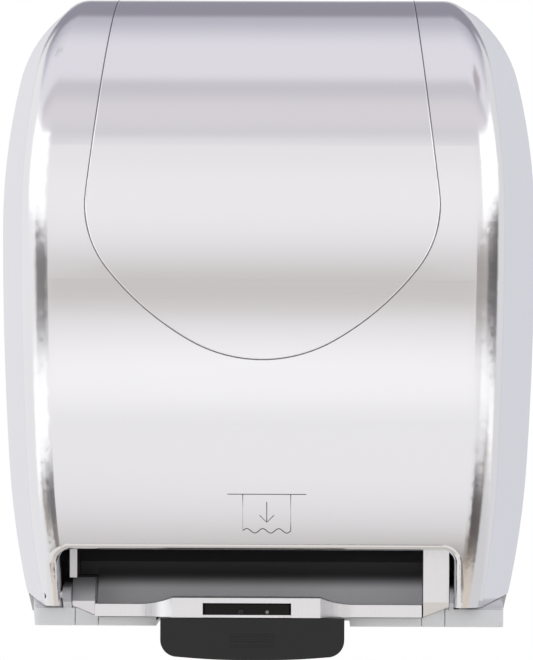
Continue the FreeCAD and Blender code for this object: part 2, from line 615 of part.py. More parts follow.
def slope(name, low_across, high_across):
    """Return what lies in front of and below the slanted top of one of the tray's facets."""
    lift = "(apron_top + gap)"
    reach = f"(({high_across}) - ({low_across}))"
    run = f"({reach} / abs{reach})"
    far = f"({high_across} + 2 * {run} * facet_width)"
    near = f"({low_across} - {run} * facet_width)"
    points = [(near, lift), (low_across, lift), (high_across, f"{lift} + facet_rise"),
              (far, f"{lift} + 3 * facet_rise"), (far, "base_bottom - 5"), (near, "base_bottom - 5")]
    return front_prism(name, points, "tray_front + tray_lip + gap", "pillar_front - 5")


def housing_profile():
    """Return the side outline of the gear housing, from its foot round to the front of the pillar."""
    rear = "tray_front + tray_lip + gap"
    return [("pillar_front", "pillar_foot"), ("tray_front", "apron_top"), (rear, "apron_top"), (rear, FLOOR),
            ("module_rear", FLOOR), ("module_rear", "module_top"), ("hood_depth", "hood_top"),
            ("tray_front", "hood_low"), ("pillar_front", "pillar_bend")]


def make_module_sides():
    """Model the left cheek with its end block, and the gear housing whose front is the bright pillar."""
    left, right = WALL_LEFT, "channel_left"
    plate = side_prism("cheek_plate", [
        ("module_front", FLOOR), ("module_rear", FLOOR), ("module_rear", "module_top"),
        ("hood_depth", "hood_top"), ("cheek_front", "cheek_top"), ("cheek_front", "ledge_height"),
        ("module_front", "ledge_height")], left, right)
    holes = [rod(f"cheek_{name}_hole", "x", radius, f"{left} - 1", f"{right} + 1", depth, height)
             for name, radius, depth, height in (
                 ("bush", "bush_across / 2", "feed_depth", "feed_height"),
                 ("lever", "lever_shaft_across / 2", "lever_depth", LEVER_HEIGHT),
                 ("carriage", "carriage_shaft_across / 2", "carriage_depth", "carriage_height"))]
    sub_part(cut("cheek_body", plate, *holes), "left_cheek")

    rear = "tray_front + tray_lip + gap"
    end = side_prism("end_block_blank", [("tray_front", "apron_top"), (rear, "apron_top"), (rear, FLOOR),
                                         ("module_front", FLOOR), ("module_front", "ledge_height"),
                                         ("block_front", "ledge_height"), ("tray_front", "pillar_foot")],
                     f"{WALL_LEFT} + skin + gap", "block_right")
    sub_part(cut("end_block_body", end, slope("end_block_slope", "facet_left + facet_width", "facet_left")),
             "left_end_block")

    right = "channel_right + pillar_width"
    shell = side_prism("housing_block", housing_profile(), "channel_right", right)
    inner = [("pillar_front + skin", "pillar_foot + skin"), (f"{rear} + skin", "pillar_foot + skin"),
             (f"{rear} + skin", f"{FLOOR} + skin"), ("module_rear - skin", f"{FLOOR} + skin"),
             ("module_rear - skin", "module_top - skin"), ("hood_depth + skin / 2", "hood_top - skin"),
             ("tray_front + skin", "hood_low"), ("pillar_front + skin", "pillar_bend")]
    hollow = side_prism("housing_hollow", inner, "channel_right + skin", f"{right} + 1")
    holes = [rod(f"housing_{name}_hole", "x", radius, "channel_right - 1", "channel_right + skin + 1",
                 depth, height)
             for name, radius, depth, height in (
                 ("bush", "bush_across / 2", "feed_depth", "feed_height"),
                 ("lever", "lever_shaft_across / 2", "lever_depth", LEVER_HEIGHT),
                 ("carriage", "carriage_shaft_across / 2", "carriage_depth", "carriage_height"),
                 ("idler", "idler_pin_across / 2", IDLER_DEPTH, IDLER_HEIGHT),
                 ("motor", "motor_boss / 2", MOTOR_DEPTH, MOTOR_HEIGHT))]
    foot = slope("housing_slope", "facet_right - facet_width", "facet_right")
    sub_part(cut("housing_body", shell, hollow, foot, *holes), "gear_housing")
    lid = side_prism("lid_plate", housing_profile(), right, LID_RIGHT)
    pin_hole = rod("lid_pin_hole", "x", "idler_pin_across / 2", f"{right} - 1", f"{LID_RIGHT} + 1",
                   IDLER_DEPTH, IDLER_HEIGHT)
    sub_part(cut("lid_body", lid, slope("lid_slope", "facet_right - facet_width", "facet_right"), pin_hole),
             "gear_housing_lid")


def make_chute():
    """Model the curved wall that leads the towel out, with a wing beside the end block."""
    middle = "(chute_back - chute_bow)"
    outer = "(chute_bow + chute_wall)"
    points = [
        ("lip_rear", f"chute_bend - sqrt({outer}^2 - (lip_rear - {middle})^2)"),
        ("chute_back + chute_wall", "chute_bend"), ("chute_front + chute_wall", "chute_top"),
        ("chute_front", "chute_top"), ("chute_back", "chute_bend"),
        ("lip_rear", f"chute_bend - sqrt(chute_bow^2 - (lip_rear - {middle})^2)"),
    ]
    wall = side_prism("chute_wall_curve", points, "block_right + gap", "channel_right - gap",
                      {0: outer, 4: "-chute_bow"})
    wing = side_prism("chute_wing", [("chute_back + chute_wall", "ledge_height + gap"),
                                     ("chute_back + chute_wall", "chute_bend"),
                                     ("chute_front + chute_wall", "chute_top"), ("chute_front", "chute_top"),
                                     ("chute_back", "chute_bend"), ("chute_back", "ledge_height + gap")],
                      "channel_left + gap", "block_right + 2 * gap")
    sub_part(fuse("chute_body", wall, wing), "paper_chute")


def make_lip():
    """Model the lip in front of the chute, whose nose stands forward and holds the towel sensor."""
    rise = "(lip_front - lip_nose)"
    climb = "(lip_nose_top - lip_side_top)"
    plan = plan_prism("lip_plan", [
        ("lip_left", "lip_front"), ("nose_left - ramp", "lip_front"), ("nose_left", "lip_nose"),
        ("nose_right", "lip_nose"), ("nose_right + ramp", "lip_front"), ("lip_right", "lip_front"),
        ("lip_right", "lip_rear"), ("lip_left", "lip_rear")], "lip_bottom", "lip_nose_top + 1",
        {1: f"-(ramp^2 + {rise}^2) / (2 * {rise})", 3: f"-(ramp^2 + {rise}^2) / (2 * {rise})"})
    face = front_prism("lip_face", [
        ("lip_left", "lip_bottom"), ("lip_right", "lip_bottom"), ("lip_right", "lip_side_top"),
        ("nose_right + ramp", "lip_side_top"), ("nose_right", "lip_nose_top"), ("nose_left", "lip_nose_top"),
        ("nose_left - ramp", "lip_side_top"), ("lip_left", "lip_side_top")], "lip_rear", "lip_nose - 1",
        {3: f"-(ramp^2 + {climb}^2) / (2 * {climb})", 5: f"-(ramp^2 + {climb}^2) / (2 * {climb})"})
    low = "lip_bottom + lip_wall"
    hollow = fuse("lip_hollow",
                  block("lip_rear_hollow", ("lip_left + lip_wall", "lip_right - lip_wall"),
                        ("lip_front + lip_wall", "lip_rear + 1"), (low, "lip_side_top - lip_wall")),
                  block("lip_nose_hollow", ("nose_left + 2 * lip_wall", "nose_right - 2 * lip_wall"),
                        ("lip_nose + lip_wall", "lip_rear + 1"), (low, "lip_nose_top - lip_wall")))
    front = "lip_nose + recess_depth"
    opening = block("lip_opening", ("recess_left", "recess_right"), ("lip_nose - 1", f"{front} + window_wall"),
                    ("recess_bottom", "recess_top"))
    sub_part(cut("lip_body", common("lip_blank", plan, face), hollow, opening), "front_lip")
    sub_part(block("window_body", ("recess_left", "recess_right"), (front, f"{front} + window_wall"),
                   ("recess_bottom", "recess_top")), "sensor_window")
    for label, size, across in (("sensor_lens", "lens_size", "lens_across"),
                                ("status_led", "led_size", "led_across")):
        disc = rod(label + "_body", "y", f"{size} / 2", f"{front} - recess_depth / 2", front,
                   across, "lens_height")
        sub_part(disc, label)


def make_tear_bar():
    """Model the steel bar with a row of teeth along its lower edge."""
    body = doc.addObject("PartDesign::Body", "tear_body")
    strip = body_sketch(body, "tear_strip", "XZ_Plane", "-fascia_front")
    low, right = "tear_bottom + tear_tooth", "tear_left + tear_length"
    draw(strip, [("tear_left", low), (right, low), (right, "tear_top"), ("tear_left", "tear_top")])
    pad(body, "tear_strip_pad", strip, "tear_wall")
    tooth = body_sketch(body, "tear_tooth_outline", "XZ_Plane", "-fascia_front")
    root = "tear_bottom + 1.5 * tear_tooth"
    draw(tooth, [("tear_left", low), ("tear_left + tear_pitch / 2", "tear_bottom"),
                 ("tear_left + tear_pitch", low), ("tear_left + tear_pitch", root), ("tear_left", root)])
    tip = pad(body, "tear_tooth_pad", tooth, "tear_wall")
    doc.recompute()
    repeat = body.newObject("PartDesign::LinearPattern", "tear_row")
    repeat.Originals = [tip]
    repeat.Direction = (tooth, ["H_Axis"])
    bind(repeat, Length="tear_length - tear_pitch", Occurrences="round(tear_length / tear_pitch)")
    body.Tip = repeat
    sub_part(body, "tear_bar")


def make_fascia():
    """Model the module's front plate, its top plate and the screws that hold them."""
    plate = block("fascia_body", ("channel_left", "channel_right"),
                  ("fascia_front", "fascia_front + fascia_wall"), ("fascia_bottom", "fascia_top"))
    sub_part(plate, "module_fascia")
    fall = "((module_top - hood_top) / (module_rear - hood_depth))"
    front_z = f"(hood_top + {fall} * (plate_front - hood_depth))"
    cover = side_prism("top_plate", [
        ("plate_front", f"{front_z} - plate_drop"), ("plate_front + plate_wall", f"{front_z} - plate_drop"),
        ("plate_front + plate_wall", f"{front_z} - plate_wall"), ("module_rear", "module_top - plate_wall"),
        ("module_rear", "module_top"), ("plate_front", front_z)], "channel_left", "channel_right")
    sub_part(cover, "module_cover")
    screws = []
    for name, across in (("left", "channel_left + screw_head"), ("right", "control_left - screw_head")):
        for row, height in (("low", "tear_top + screw_head"), ("high", "fascia_top - screw_head")):
            screws.append(rod(f"screw_{name}_{row}", "y", "screw_head / 2", "fascia_front - head_height",
                              "fascia_front", across, height))
    sub_part(group("fascia_screws", *screws), "module_screws")


def make_controls():
    """Model the control box behind the cover, with its board, button and two slide switches."""
    inside = ("control_front + control_wall", "fascia_front + 1")
    behind = f"({inside[0]} + gap)"
    square = block("control_blank", ("control_left", "control_right"), ("control_front", "fascia_front"),
                   ("control_bottom", "control_top"))
    blank = rounded("control_rounded", square, "control_round",
                    lambda edge: edge.BoundBox.YMax < value("control_front + 0.1"))
    across = ("control_left + control_wall", "control_right - control_wall")
    upright = ("control_bottom + control_wall", "control_top - control_wall")
    hollow = block("control_hollow", across, inside, upright)
    through = ("control_front - 1", f"{inside[0]} + 1")
    hole = rod("button_hole", "y", "button_across / 2 + gap", *through, "button_place", "button_height")
    slots = []
    for label, height in (("towel_length_switch", "switch_upper"), ("delay_switch", "switch_lower")):
        middle, half = "(switch_place - switch_travel / 2)", "(switch_width / 2)"
        room = f"(switch_travel / 2 + {half} + gap)"
        slots.append(block(label + "_slot", (f"switch_place - {room}", f"switch_place + {room}"), through,
                           (f"{height} - switch_height / 2 - gap", f"{height} + switch_height / 2 + gap")))
        knob = block(label + "_knob", (f"{middle} - {half}", f"{middle} + {half}"),
                     ("control_front - slider_wall", behind),
                     (f"{height} - switch_height / 2", f"{height} + switch_height / 2"))
        reach = f"({half} + switch_travel)"
        slider = block(label + "_slider", (f"{middle} - {reach}", f"{middle} + {reach}"),
                       (behind, f"{behind} + slider_wall"),
                       (f"{height} - switch_height", f"{height} + switch_height"))
        sub_part(fuse(label + "_body", knob, slider), label)
    sub_part(cut("control_body", blank, hollow, hole, *slots), "control_box")
    board = block("board_body", across, ("board_front", "board_front + board_wall"), upright)
    sub_part(board, "control_board")
    stem = rod("button_stem", "y", "button_across / 2", "control_front - button_rise", behind,
               "button_place", "button_height")
    flange = rod("button_flange", "y", "button_across / 2 + button_rim", behind, f"{behind} + slider_wall",
                 "button_place", "button_height")
    sub_part(fuse("button_body", stem, flange), "feed_button")


def make_batteries():
    """Model the battery box, its hinged door, the four cells and their contacts."""
    top = f"({FLOOR} + box_height)"
    rear = "-back_wall"
    blank = block("box_blank", ("box_left", "box_right"), ("box_front", rear), (FLOOR, top))
    hollow = block("box_hollow", ("box_left + box_wall", "box_right - box_wall"),
                   ("box_front + box_wall", f"{rear} - box_wall"), (f"{FLOOR} + box_wall", f"{top} + 1"))
    hinge_z = f"({top} + gap + door_wall / 2)"
    ears = []
    for name, low, sign in (("left", "box_left", 1), ("right", "box_right", -1)):
        x = span(low, "0", "box_wall", sign)
        plate = block(f"ear_{name}_plate", x,
                      ("door_hinge_depth - door_knuckle / 2", "door_hinge_depth + door_knuckle / 2"),
                      (f"{top} - 1", f"{hinge_z} + door_knuckle / 2"))
        ears.append(cut(f"ear_{name}", plate, rod(f"ear_{name}_hole", "x", "door_pin / 2 + running_fit",
                                                  f"{x[0]} - 1", f"{x[1]} + 1", "door_hinge_depth", hinge_z)))
    sub_part(fuse("box_body", cut("box_shell", blank, hollow), *ears), "battery_box")
    inside = ("box_left + box_wall + gap", "box_right - box_wall - gap")
    full, thick = ("box_left + gap", "box_right - gap"), (f"{top} + gap", f"{top} + gap + door_wall")
    leaf = block("door_leaf", full, ("box_front + gap", "door_hinge_depth - door_knuckle"), thick)
    strip = block("door_strip", inside, ("door_hinge_depth - door_knuckle", "door_hinge_depth"), thick)
    knuckle = rod("door_knuckle_rod", "x", "door_knuckle / 2", *inside, "door_hinge_depth", hinge_z)
    pin = rod("door_pin_rod", "x", "door_pin / 2", *full, "door_hinge_depth", hinge_z)
    sub_part(fuse("door_body", leaf, strip, knuckle, pin), "battery_door")
    cells, contacts = [], []
    inner_left = "(box_left + box_wall + contact_wall)"
    for column in range(2):
        start = f"({inner_left} + {column} * (cell_length + cell_gap))"
        for row in range(2):
            depth = f"(box_front + box_wall + gap + cell_across * {row + 0.5} + {row} * cell_gap)"
            cells.append(rod(f"cell_{column}{row}", "x", "cell_across / 2", start, f"{start} + cell_length",
                             depth, f"{FLOOR} + box_wall + cell_across / 2"))
    for name, x in (("left", ("box_left + box_wall", inner_left)),
                    ("right", (f"{inner_left} + 2 * cell_length + cell_gap", "box_right - box_wall"))):
        contacts.append(block(f"contact_{name}", x, ("box_front + box_wall", f"{rear} - box_wall"),
                              (f"{FLOOR} + box_wall", f"{top} - box_wall")))
    sub_part(group("cells_body", *cells), "battery_cells")
    sub_part(group("contacts_body", *contacts), "battery_contacts")


def toothed(name, teeth, low, width, bore, depth, height, turn, count=None):
    """Return a spur gear, or a sector of one with a few teeth, its first tooth turned to a given angle."""
    body = doc.addObject("PartDesign::Body", name)
    body.Placement = FreeCAD.Placement(Vector(), Rotation(Vector(1, 0, 0), value(turn)))
    place(body, low, depth, height)
    body.setExpression("Placement.Rotation.Angle", bound(turn))
    root = f"(gear_module * {teeth / 2 - DEDENDUM})"
    blank = body_sketch(body, name + "_blank", "YZ_Plane")
    if count:
        angles = [f"{steps * 360 / teeth}" for steps in (-SECTOR_EDGE, count - 1 + SECTOR_EDGE)]
        rim = [(f"{root} * cos({angle})", f"{root} * sin({angle})") for angle in angles]
        draw(blank, [("0", "0"), *rim], {1: root})
    else:
        rings = [root] + ([bore] if bore else [])
        for index, radius in enumerate(rings):
            blank.addGeometry(Part.Circle(Vector(), Vector(0, 0, 1), value(radius)))
            blank.addConstraint(Sketcher.Constraint("Coincident", index, 3, -1, 1))
            datum = blank.addConstraint(Sketcher.Constraint("Radius", index, value(radius)))
            blank.setExpression(f"Constraints[{datum}]", bound(radius))
    pad(body, name + "_disc", blank, width)
    pitch_radius = f"(gear_module * {teeth / 2})"
    half = "(gear_module * pi * tooth_share / 2)"
    slant = math.tan(math.radians(PRESSURE_ANGLE))
    inner, outer = f"({root} - gear_module / 2)", f"({pitch_radius} + gear_module)"
    tooth = body_sketch(body, name + "_tooth", "YZ_Plane")
    foot = f"({half} + {slant * DEDENDUM:.3f} * gear_module)"
    tip = f"({half} - {slant:.3f} * gear_module)"
    draw(tooth, [(inner, f"-{foot}"), (outer, f"-{tip}"), (outer, tip), (inner, foot)])
    profile = pad(body, name + "_tooth_pad", tooth, width)
    doc.recompute()
    ring = body.newObject("PartDesign::PolarPattern", name + "_teeth")
    ring.Originals = [profile]
    ring.Axis = (tooth, ["N_Axis"])
    ring.Angle = 360 if not count else (count - 1) * 360 / teeth
    ring.Occurrences = count or teeth
    body.Tip = ring
    return body


def make_feed():
    """Model the rubber covered feed shaft, its bushings, gears and motor."""
    shaft_end = "gear_start + gear_face + gear_gap / 2"
    sub_part(rod("feed_shaft_body", "x", "feed_shaft_across / 2", f"{WALL_LEFT} - ear_wall", shaft_end,
                 "feed_depth", "feed_height"), "feed_shaft")
    middles = [f"(sleeve_first + {index} * sleeve_pitch)" for index in range(4)] + ["sleeve_last"]
    sleeves, rollers = [], []
    for index, middle in enumerate(middles):
        sleeves.append(tube(f"sleeve_{index}", "x", "sleeve_across / 2", "feed_shaft_across / 2",
                            f"{middle} - sleeve_length / 2", f"{middle} + sleeve_length / 2",
                            "feed_depth", "feed_height"))
        rollers.append(rod(f"pinch_roller_{index}", "x", "pinch_across / 2", f"{middle} - pinch_length / 2",
                           f"{middle} + pinch_length / 2", PINCH_DEPTH, "feed_height"))
    sub_part(group("sleeves_body", *sleeves), "feed_sleeves")
    bushes = []
    for name, wall, face, sign in (("left", WALL_LEFT, "channel_left", 1),
                                   ("right", "channel_right + skin", "channel_right", -1)):
        depth = "cheek_wall" if sign > 0 else "skin"
        body = tube(f"bush_{name}_body", "x", "bush_across / 2", "feed_shaft_across / 2 + running_fit",
                    *span(wall, "0", depth, sign), "feed_depth", "feed_height")
        rim = tube(f"bush_{name}_rim", "x", "bush_flange / 2", "feed_shaft_across / 2 + running_fit",
                   *span(face, "0", "bush_rim", sign), "feed_depth", "feed_height")
        bushes.append(fuse(f"bush_{name}", body, rim))
    sub_part(group("bushes_body", *bushes), "shaft_bushings")
    sub_part(toothed("roller_wheel", TEETH["roller"], "gear_start", "gear_face", "feed_shaft_across / 2",
                     "feed_depth", "feed_height", "idler_turn"), "roller_gear")

    bore = "(idler_pin_across / 2 + running_fit)"
    second = "(gear_start + gear_face + gear_gap)"
    small = toothed("idler_small", TEETH["idler_small"], "gear_start", "gear_face", bore,
                    IDLER_DEPTH, IDLER_HEIGHT, f"idler_turn + 180 + {180 / TEETH['idler_small']}")
    large = toothed("idler_large", TEETH["idler_large"], second, "gear_face", bore,
                    IDLER_DEPTH, IDLER_HEIGHT, "pinion_turn")
    hub = tube("idler_hub_ring", "x", "idler_hub / 2", bore, "gear_start", second, IDLER_DEPTH, IDLER_HEIGHT)
    sub_part(fuse("idler_body", small, large, hub), "idler_gear")
    sub_part(rod("idler_pin_body", "x", "idler_pin_across / 2", "channel_right", LID_RIGHT,
                 IDLER_DEPTH, IDLER_HEIGHT), "idler_pin")
    pinion = toothed("pinion_wheel", TEETH["pinion"], second, "gear_face", None, MOTOR_DEPTH, MOTOR_HEIGHT,
                     f"pinion_turn + 180 + {180 / TEETH['pinion']}")
    rotor = rod("rotor_shaft", "x", "motor_shaft / 2", "channel_right - motor_shaft * 2", second,
                MOTOR_DEPTH, MOTOR_HEIGHT)
    sub_part(fuse("pinion_body", pinion, rotor), "motor_pinion")
    can = rod("motor_can", "x", "motor_across / 2", "channel_right - motor_length", "channel_right",
              MOTOR_DEPTH, MOTOR_HEIGHT)
    nose = rod("motor_nose", "x", "motor_boss / 2", "channel_right", "channel_right + skin",
               MOTOR_DEPTH, MOTOR_HEIGHT)
    end = rod("motor_end", "x", "motor_boss / 2", "channel_right - motor_length - motor_cap",
              "channel_right - motor_length", MOTOR_DEPTH, MOTOR_HEIGHT)
    bore = rod("motor_bore", "x", "motor_shaft / 2 + running_fit", "channel_right - motor_shaft * 2 - gap",
               "channel_right + skin + 1", MOTOR_DEPTH, MOTOR_HEIGHT)
    sub_part(cut("motor_body", fuse("motor_blank", can, nose, end), bore), "drive_motor")

    spindle = rod("pinch_spindle", "x", "pinch_shaft / 2", "carriage_left", "carriage_right",
                  PINCH_DEPTH, "feed_height")
    sub_part(fuse("pinch_body", spindle, *rollers), "pinch_rollers")
    make_carriage()


def make_carriage():
    """Model the sprung plate that presses the pinch rollers on the feed sleeves, and its shaft."""
    left, right = "carriage_left", "carriage_right"
    pieces = [block("carriage_sheet", (left, right), ("carriage_plate", "carriage_plate + carriage_wall"),
                    ("carriage_foot", "carriage_height - knuckle_across / 2"))]
    bores = []
    for name, edge, sign in (("left", left, 1), ("right", right, -1)):
        ear = span(edge, "0", "ear_wall", sign)
        rear = f"{PINCH_DEPTH} + pinch_shaft"
        pieces.append(side_prism(f"carriage_ear_{name}", [
            ("carriage_plate", "carriage_foot"), (rear, "carriage_foot"), (rear, "feed_height + pinch_shaft"),
            ("carriage_plate", "feed_height + 3 * pinch_shaft")], *ear))
        bores.append(rod(f"carriage_bore_{name}", "x", "pinch_shaft / 2 + running_fit", f"{ear[0]} - 1",
                         f"{ear[1]} + 1", PINCH_DEPTH, "feed_height"))
        knuckle = span(edge, "0", "knuckle_length", sign)
        pieces.append(rod(f"carriage_knuckle_{name}", "x", "knuckle_across / 2", *knuckle,
                          "carriage_depth", "carriage_height"))
        pieces.append(block(f"carriage_neck_{name}", knuckle, ("carriage_plate", "carriage_depth"),
                            ("carriage_height - knuckle_across / 2 - 1", "carriage_height")))
        bores.append(rod(f"knuckle_bore_{name}", "x", "carriage_shaft_across / 2 + running_fit",
                         f"{knuckle[0]} - 1", f"{knuckle[1]} + 1", "carriage_depth", "carriage_height"))
    sub_part(cut("carriage_body", fuse("carriage_blank", *pieces), *bores), "pinch_carriage")
    sub_part(rod("carriage_shaft_body", "x", "carriage_shaft_across / 2", WALL_LEFT, "channel_right + skin",
                 "carriage_depth", "carriage_height"), "carriage_shaft")


def paddle_prism(name, inset, far, near):
    """Return the push lever's face outline as a prism, a given wall inside its edge."""
    left, right = f"(lever_left + ({inset}))", f"(lever_right - ({inset}))"
    corner, bow = f"(paddle_corner - ({inset}))", f"(paddle_bow - ({inset}))"
    half = "((lever_right - lever_left) / 2 - paddle_corner)"
    low = f"(lever_bottom + paddle_bow - sqrt(paddle_bow^2 - {half}^2) + ({inset}))"
    points = [(left, f"paddle_top - ({inset})"), (left, f"{low} + {corner}"), (f"{left} + {corner}", low),
              (f"{right} - {corner}", low), (right, f"{low} + {corner}"), (right, f"paddle_top - ({inset})")]
    return front_prism(name, points, far, near, {1: corner, 2: bow, 3: corner})


def make_lever():
    """Model the push lever with its gear sector, the shaft it turns on, its spring and the clutch gear."""
    rear = "paddle_front + paddle_rim"
    paddle = cut("paddle_shell", paddle_prism("paddle_block", "0", rear, "paddle_front"),
                 paddle_prism("paddle_hollow", "paddle_wall", f"{rear} + 1", "paddle_front + paddle_wall"))
    web = block("lever_web", ("arm_low", "clutch_low + clutch_wall"),
                ("paddle_front + paddle_wall", "web_rear"), ("web_top - web_wall", "web_top"))
    pieces, bores = [paddle, web], []
    for name, low in (("left", "arm_low"), ("right", "clutch_low")):
        high = f"{low} + arm_wall"
        pieces.append(side_prism(f"lever_arm_{name}", [
            ("web_rear - arm_foot", "web_top - web_wall"), ("web_rear", "web_top - web_wall"),
            ("lever_depth + arm_head / 2", LEVER_HEIGHT), ("lever_depth - arm_head / 2", LEVER_HEIGHT)],
            low, high))
        pieces.append(rod(f"lever_boss_{name}", "x", "lever_boss / 2", low, high, "lever_depth", LEVER_HEIGHT))
        bores.append(rod(f"lever_bore_{name}", "x", "lever_shaft_across / 2 + running_fit", f"{low} - 1",
                         f"{high} + 1", "lever_depth", LEVER_HEIGHT))
    pieces.append(block("lever_tail", ("arm_low", "arm_low + arm_wall"),
                        ("lever_depth", "lever_depth + tail_reach"),
                        (f"{LEVER_HEIGHT} - tail_drop", LEVER_HEIGHT)))
    step = 360 / TEETH["sector"]
    pieces.append(toothed("lever_sector", TEETH["sector"], "clutch_low", "clutch_wall", None, "lever_depth",
                          LEVER_HEIGHT, f"{LEVER_TURN} - {SECTOR_BEFORE * step}", count=SECTOR_TEETH))
    sub_part(cut("lever_body", fuse("lever_blank", *pieces), *bores), "push_lever")
    sub_part(rod("lever_shaft_body", "x", "lever_shaft_across / 2", WALL_LEFT, "channel_right + skin",
                 "lever_depth", LEVER_HEIGHT), "lever_shaft")
    bore = "(feed_shaft_across / 2 + running_fit)"
    clutch = toothed("clutch_wheel", TEETH["clutch"], "clutch_low", "clutch_wall", bore, "feed_depth",
                     "feed_height", f"{LEVER_TURN} + 180 + {180 / TEETH['clutch']}")
    hub = tube("clutch_hub_ring", "x", "clutch_hub / 2", bore, "clutch_low + clutch_wall",
               "clutch_low + 2 * clutch_wall", "feed_depth", "feed_height")
    sub_part(fuse("clutch_body", clutch, hub), "clutch_gear")
    make_spring()


def make_spring():
    """Model the spring that draws the lever's tail down, as a wire swept along a helix."""
    across, bottom = "arm_low + arm_wall / 2", f"{FLOOR} + spring_wire / 2"
    length = f"({LEVER_HEIGHT} - tail_drop - spring_wire - {FLOOR})"
    helix = doc.addObject("Part::Helix", "spring_line")
    bind(helix, Pitch=f"{length} / spring_turns", Height=length, Radius="(spring_across - spring_wire) / 2")
    place(helix, across, "spring_depth", bottom)
    wire = doc.addObject("Part::Circle", "spring_wire_ring")
    wire.Placement = FreeCAD.Placement(Vector(), FRONT)
    bind(wire, Radius="spring_wire / 2")
    place(wire, f"{across} + (spring_across - spring_wire) / 2", "spring_depth", bottom)
    coil = doc.addObject("Part::Sweep", "spring_body")
    coil.Sections = [wire]
    coil.Spine = helix
    coil.Solid = True
    coil.Frenet = True
    sub_part(coil, "lever_return_spring")


def make_roll_holder():
    """Model the two arms that flex outwards and the hubs that carry the roll's core."""
    half_root, half_tip = "arm_root / 2", "arm_tip / 2"
    for side, outer, sign in (("left", "arm_left", 1), ("right", "arm_right", -1)):
        x = span(outer, "0", "arm_thick", sign)
        middle = f"({x[0]} + arm_thick / 2)"
        leaf = side_prism(f"arm_{side}_leaf", [
            ("roll_depth", f"roll_height - {half_tip}"), ("arm_hinge_depth", f"roll_height - {half_root}"),
            ("arm_hinge_depth", f"roll_height + {half_root}"),
            ("roll_depth", f"roll_height + {half_tip}")], *x)
        tip = rod(f"arm_{side}_tip", "x", half_tip, *x, "roll_depth", "roll_height")
        knuckle = rod(f"arm_{side}_knuckle", "z", "arm_knuckle / 2", f"roll_height - {half_root}",
                      f"roll_height + {half_root}", middle, "arm_hinge_depth")
        stub_end = "arm_thick + gap + hub_flange_wall + hub_length - skin"
        stub = rod(f"arm_{side}_stub", "x", "arm_pin / 2", *span(outer, "arm_thick / 2", stub_end, sign),
                   "roll_depth", "roll_height")
        window = rod(f"arm_{side}_window", "x", "arm_window / 2", f"{x[0]} - 1", f"{x[1]} + 1",
                     "(roll_depth + arm_hinge_depth) / 2", "roll_height")
        pin = rod(f"arm_{side}_bore", "z", "arm_hinge_pin / 2 + running_fit", f"roll_height - {half_root} - 1",
                  f"roll_height + {half_root} + 1", middle, "arm_hinge_depth")
        sub_part(cut(f"arm_{side}_body", fuse(f"arm_{side}_blank", leaf, tip, knuckle, stub), window, pin),
                 f"roll_arm_{side}")
        inner = f"({outer}) {'+' if sign > 0 else '-'} (arm_thick + gap)"
        flange = rod(f"hub_{side}_flange", "x", "hub_flange / 2", *span(inner, "0", "hub_flange_wall", sign),
                     "roll_depth", "roll_height")
        radii = ("hub_across / 2", "hub_end / 2") if sign > 0 else ("hub_end / 2", "hub_across / 2")
        plug = cone(f"hub_{side}_plug", "x", *radii,
                    *span(inner, "hub_flange_wall", "hub_flange_wall + hub_length", sign),
                    "roll_depth", "roll_height")
        bore = rod(f"hub_{side}_bore", "x", "arm_pin / 2 + running_fit",
                   *span(inner, "-1", "hub_flange_wall + hub_length + 1", sign), "roll_depth", "roll_height")
        sub_part(cut(f"hub_{side}_body", fuse(f"hub_{side}_blank", flange, plug), bore), f"core_hub_{side}")


def make_lock():
    """Model the cover's lock, its cam, the strike in the rear housing and the switch magnet."""
    under = "(case_top - wall - gap - panel_wall)"
    radius = "lock_across / 2"
    bore = "plug_across / 2 + running_fit"
    barrel = fuse("barrel_blank",
                  rod("barrel_tube", "z", radius, "lock_bottom", "case_top", "0", "lock_depth"),
                  rod("barrel_bezel", "z", "bezel / 2", "case_top", "case_top + bezel_wall",
                      "0", "lock_depth"),
                  rod("barrel_nut", "z", "bezel / 2", f"{under} - nut_height", under, "0", "lock_depth"))
    sub_part(cut("barrel_body", barrel, rod("barrel_bore", "z", bore, "lock_bottom - 1", "case_top + 5",
                                            "0", "lock_depth")), "lock_barrel")
    slot = block("key_slot", ("-plug_across / 10", "plug_across / 10"),
                 ("lock_depth - plug_across / 3", "lock_depth + plug_across / 3"),
                 ("case_top - 2", "case_top + 5"))
    plug = rod("plug_rod", "z", "plug_across / 2", "lock_bottom - gap", "case_top + bezel_wall",
               "0", "lock_depth")
    sub_part(cut("plug_body", plug, slot), "lock_plug")
    high = "lock_bottom - gap"
    low = f"{high} - cam_wall"
    cam = fuse("cam_body", rod("cam_disc", "z", radius, low, high, "0", "lock_depth"),
               block("cam_tongue", ("-cam_width / 2", "cam_width / 2"),
                     ("lock_depth", "lock_depth + cam_reach"), (low, high)))
    sub_part(cam, "latch_cam")
    x = ("strike_left", "strike_left + strike_width")
    front = "lock_depth - cam_width / 2 - 2 * gap - strike_wall"
    shelf = f"({low} - gap - strike_wall)"
    strike = fuse("strike_body",
                  block("strike_shelf", x, (front, "-back_wall"), (shelf, f"{shelf} + strike_wall")),
                  block("strike_lip", x, (front, f"{front} + strike_wall"), (shelf, f"{high} + strike_wall")),
                  block("strike_foot", (f"{x[0]} - strike_rise", f"{x[1]} + strike_rise"),
                        ("-back_wall - strike_wall", "-back_wall"),
                        (f"{shelf} - strike_rise", f"{high} + strike_rise")))
    sub_part(strike, "latch_strike")
    seat, middle = "throat_top + bead_wall", "hinge_depth - bead_depth / 2"
    sub_part(block("magnet_body", ("magnet_left", "magnet_left + magnet_length"),
                   (f"{middle} - magnet_size / 2", f"{middle} + magnet_size / 2"),
                   (seat, f"{seat} + magnet_size")), "cover_magnet")


make_cover()
make_lock()
make_rear_housing()
make_base_tray()
make_hinge()
make_module_sides()
make_chute()
make_lip()
make_tear_bar()
make_fascia()
make_controls()
make_batteries()
make_feed()
make_lever()
make_roll_holder()

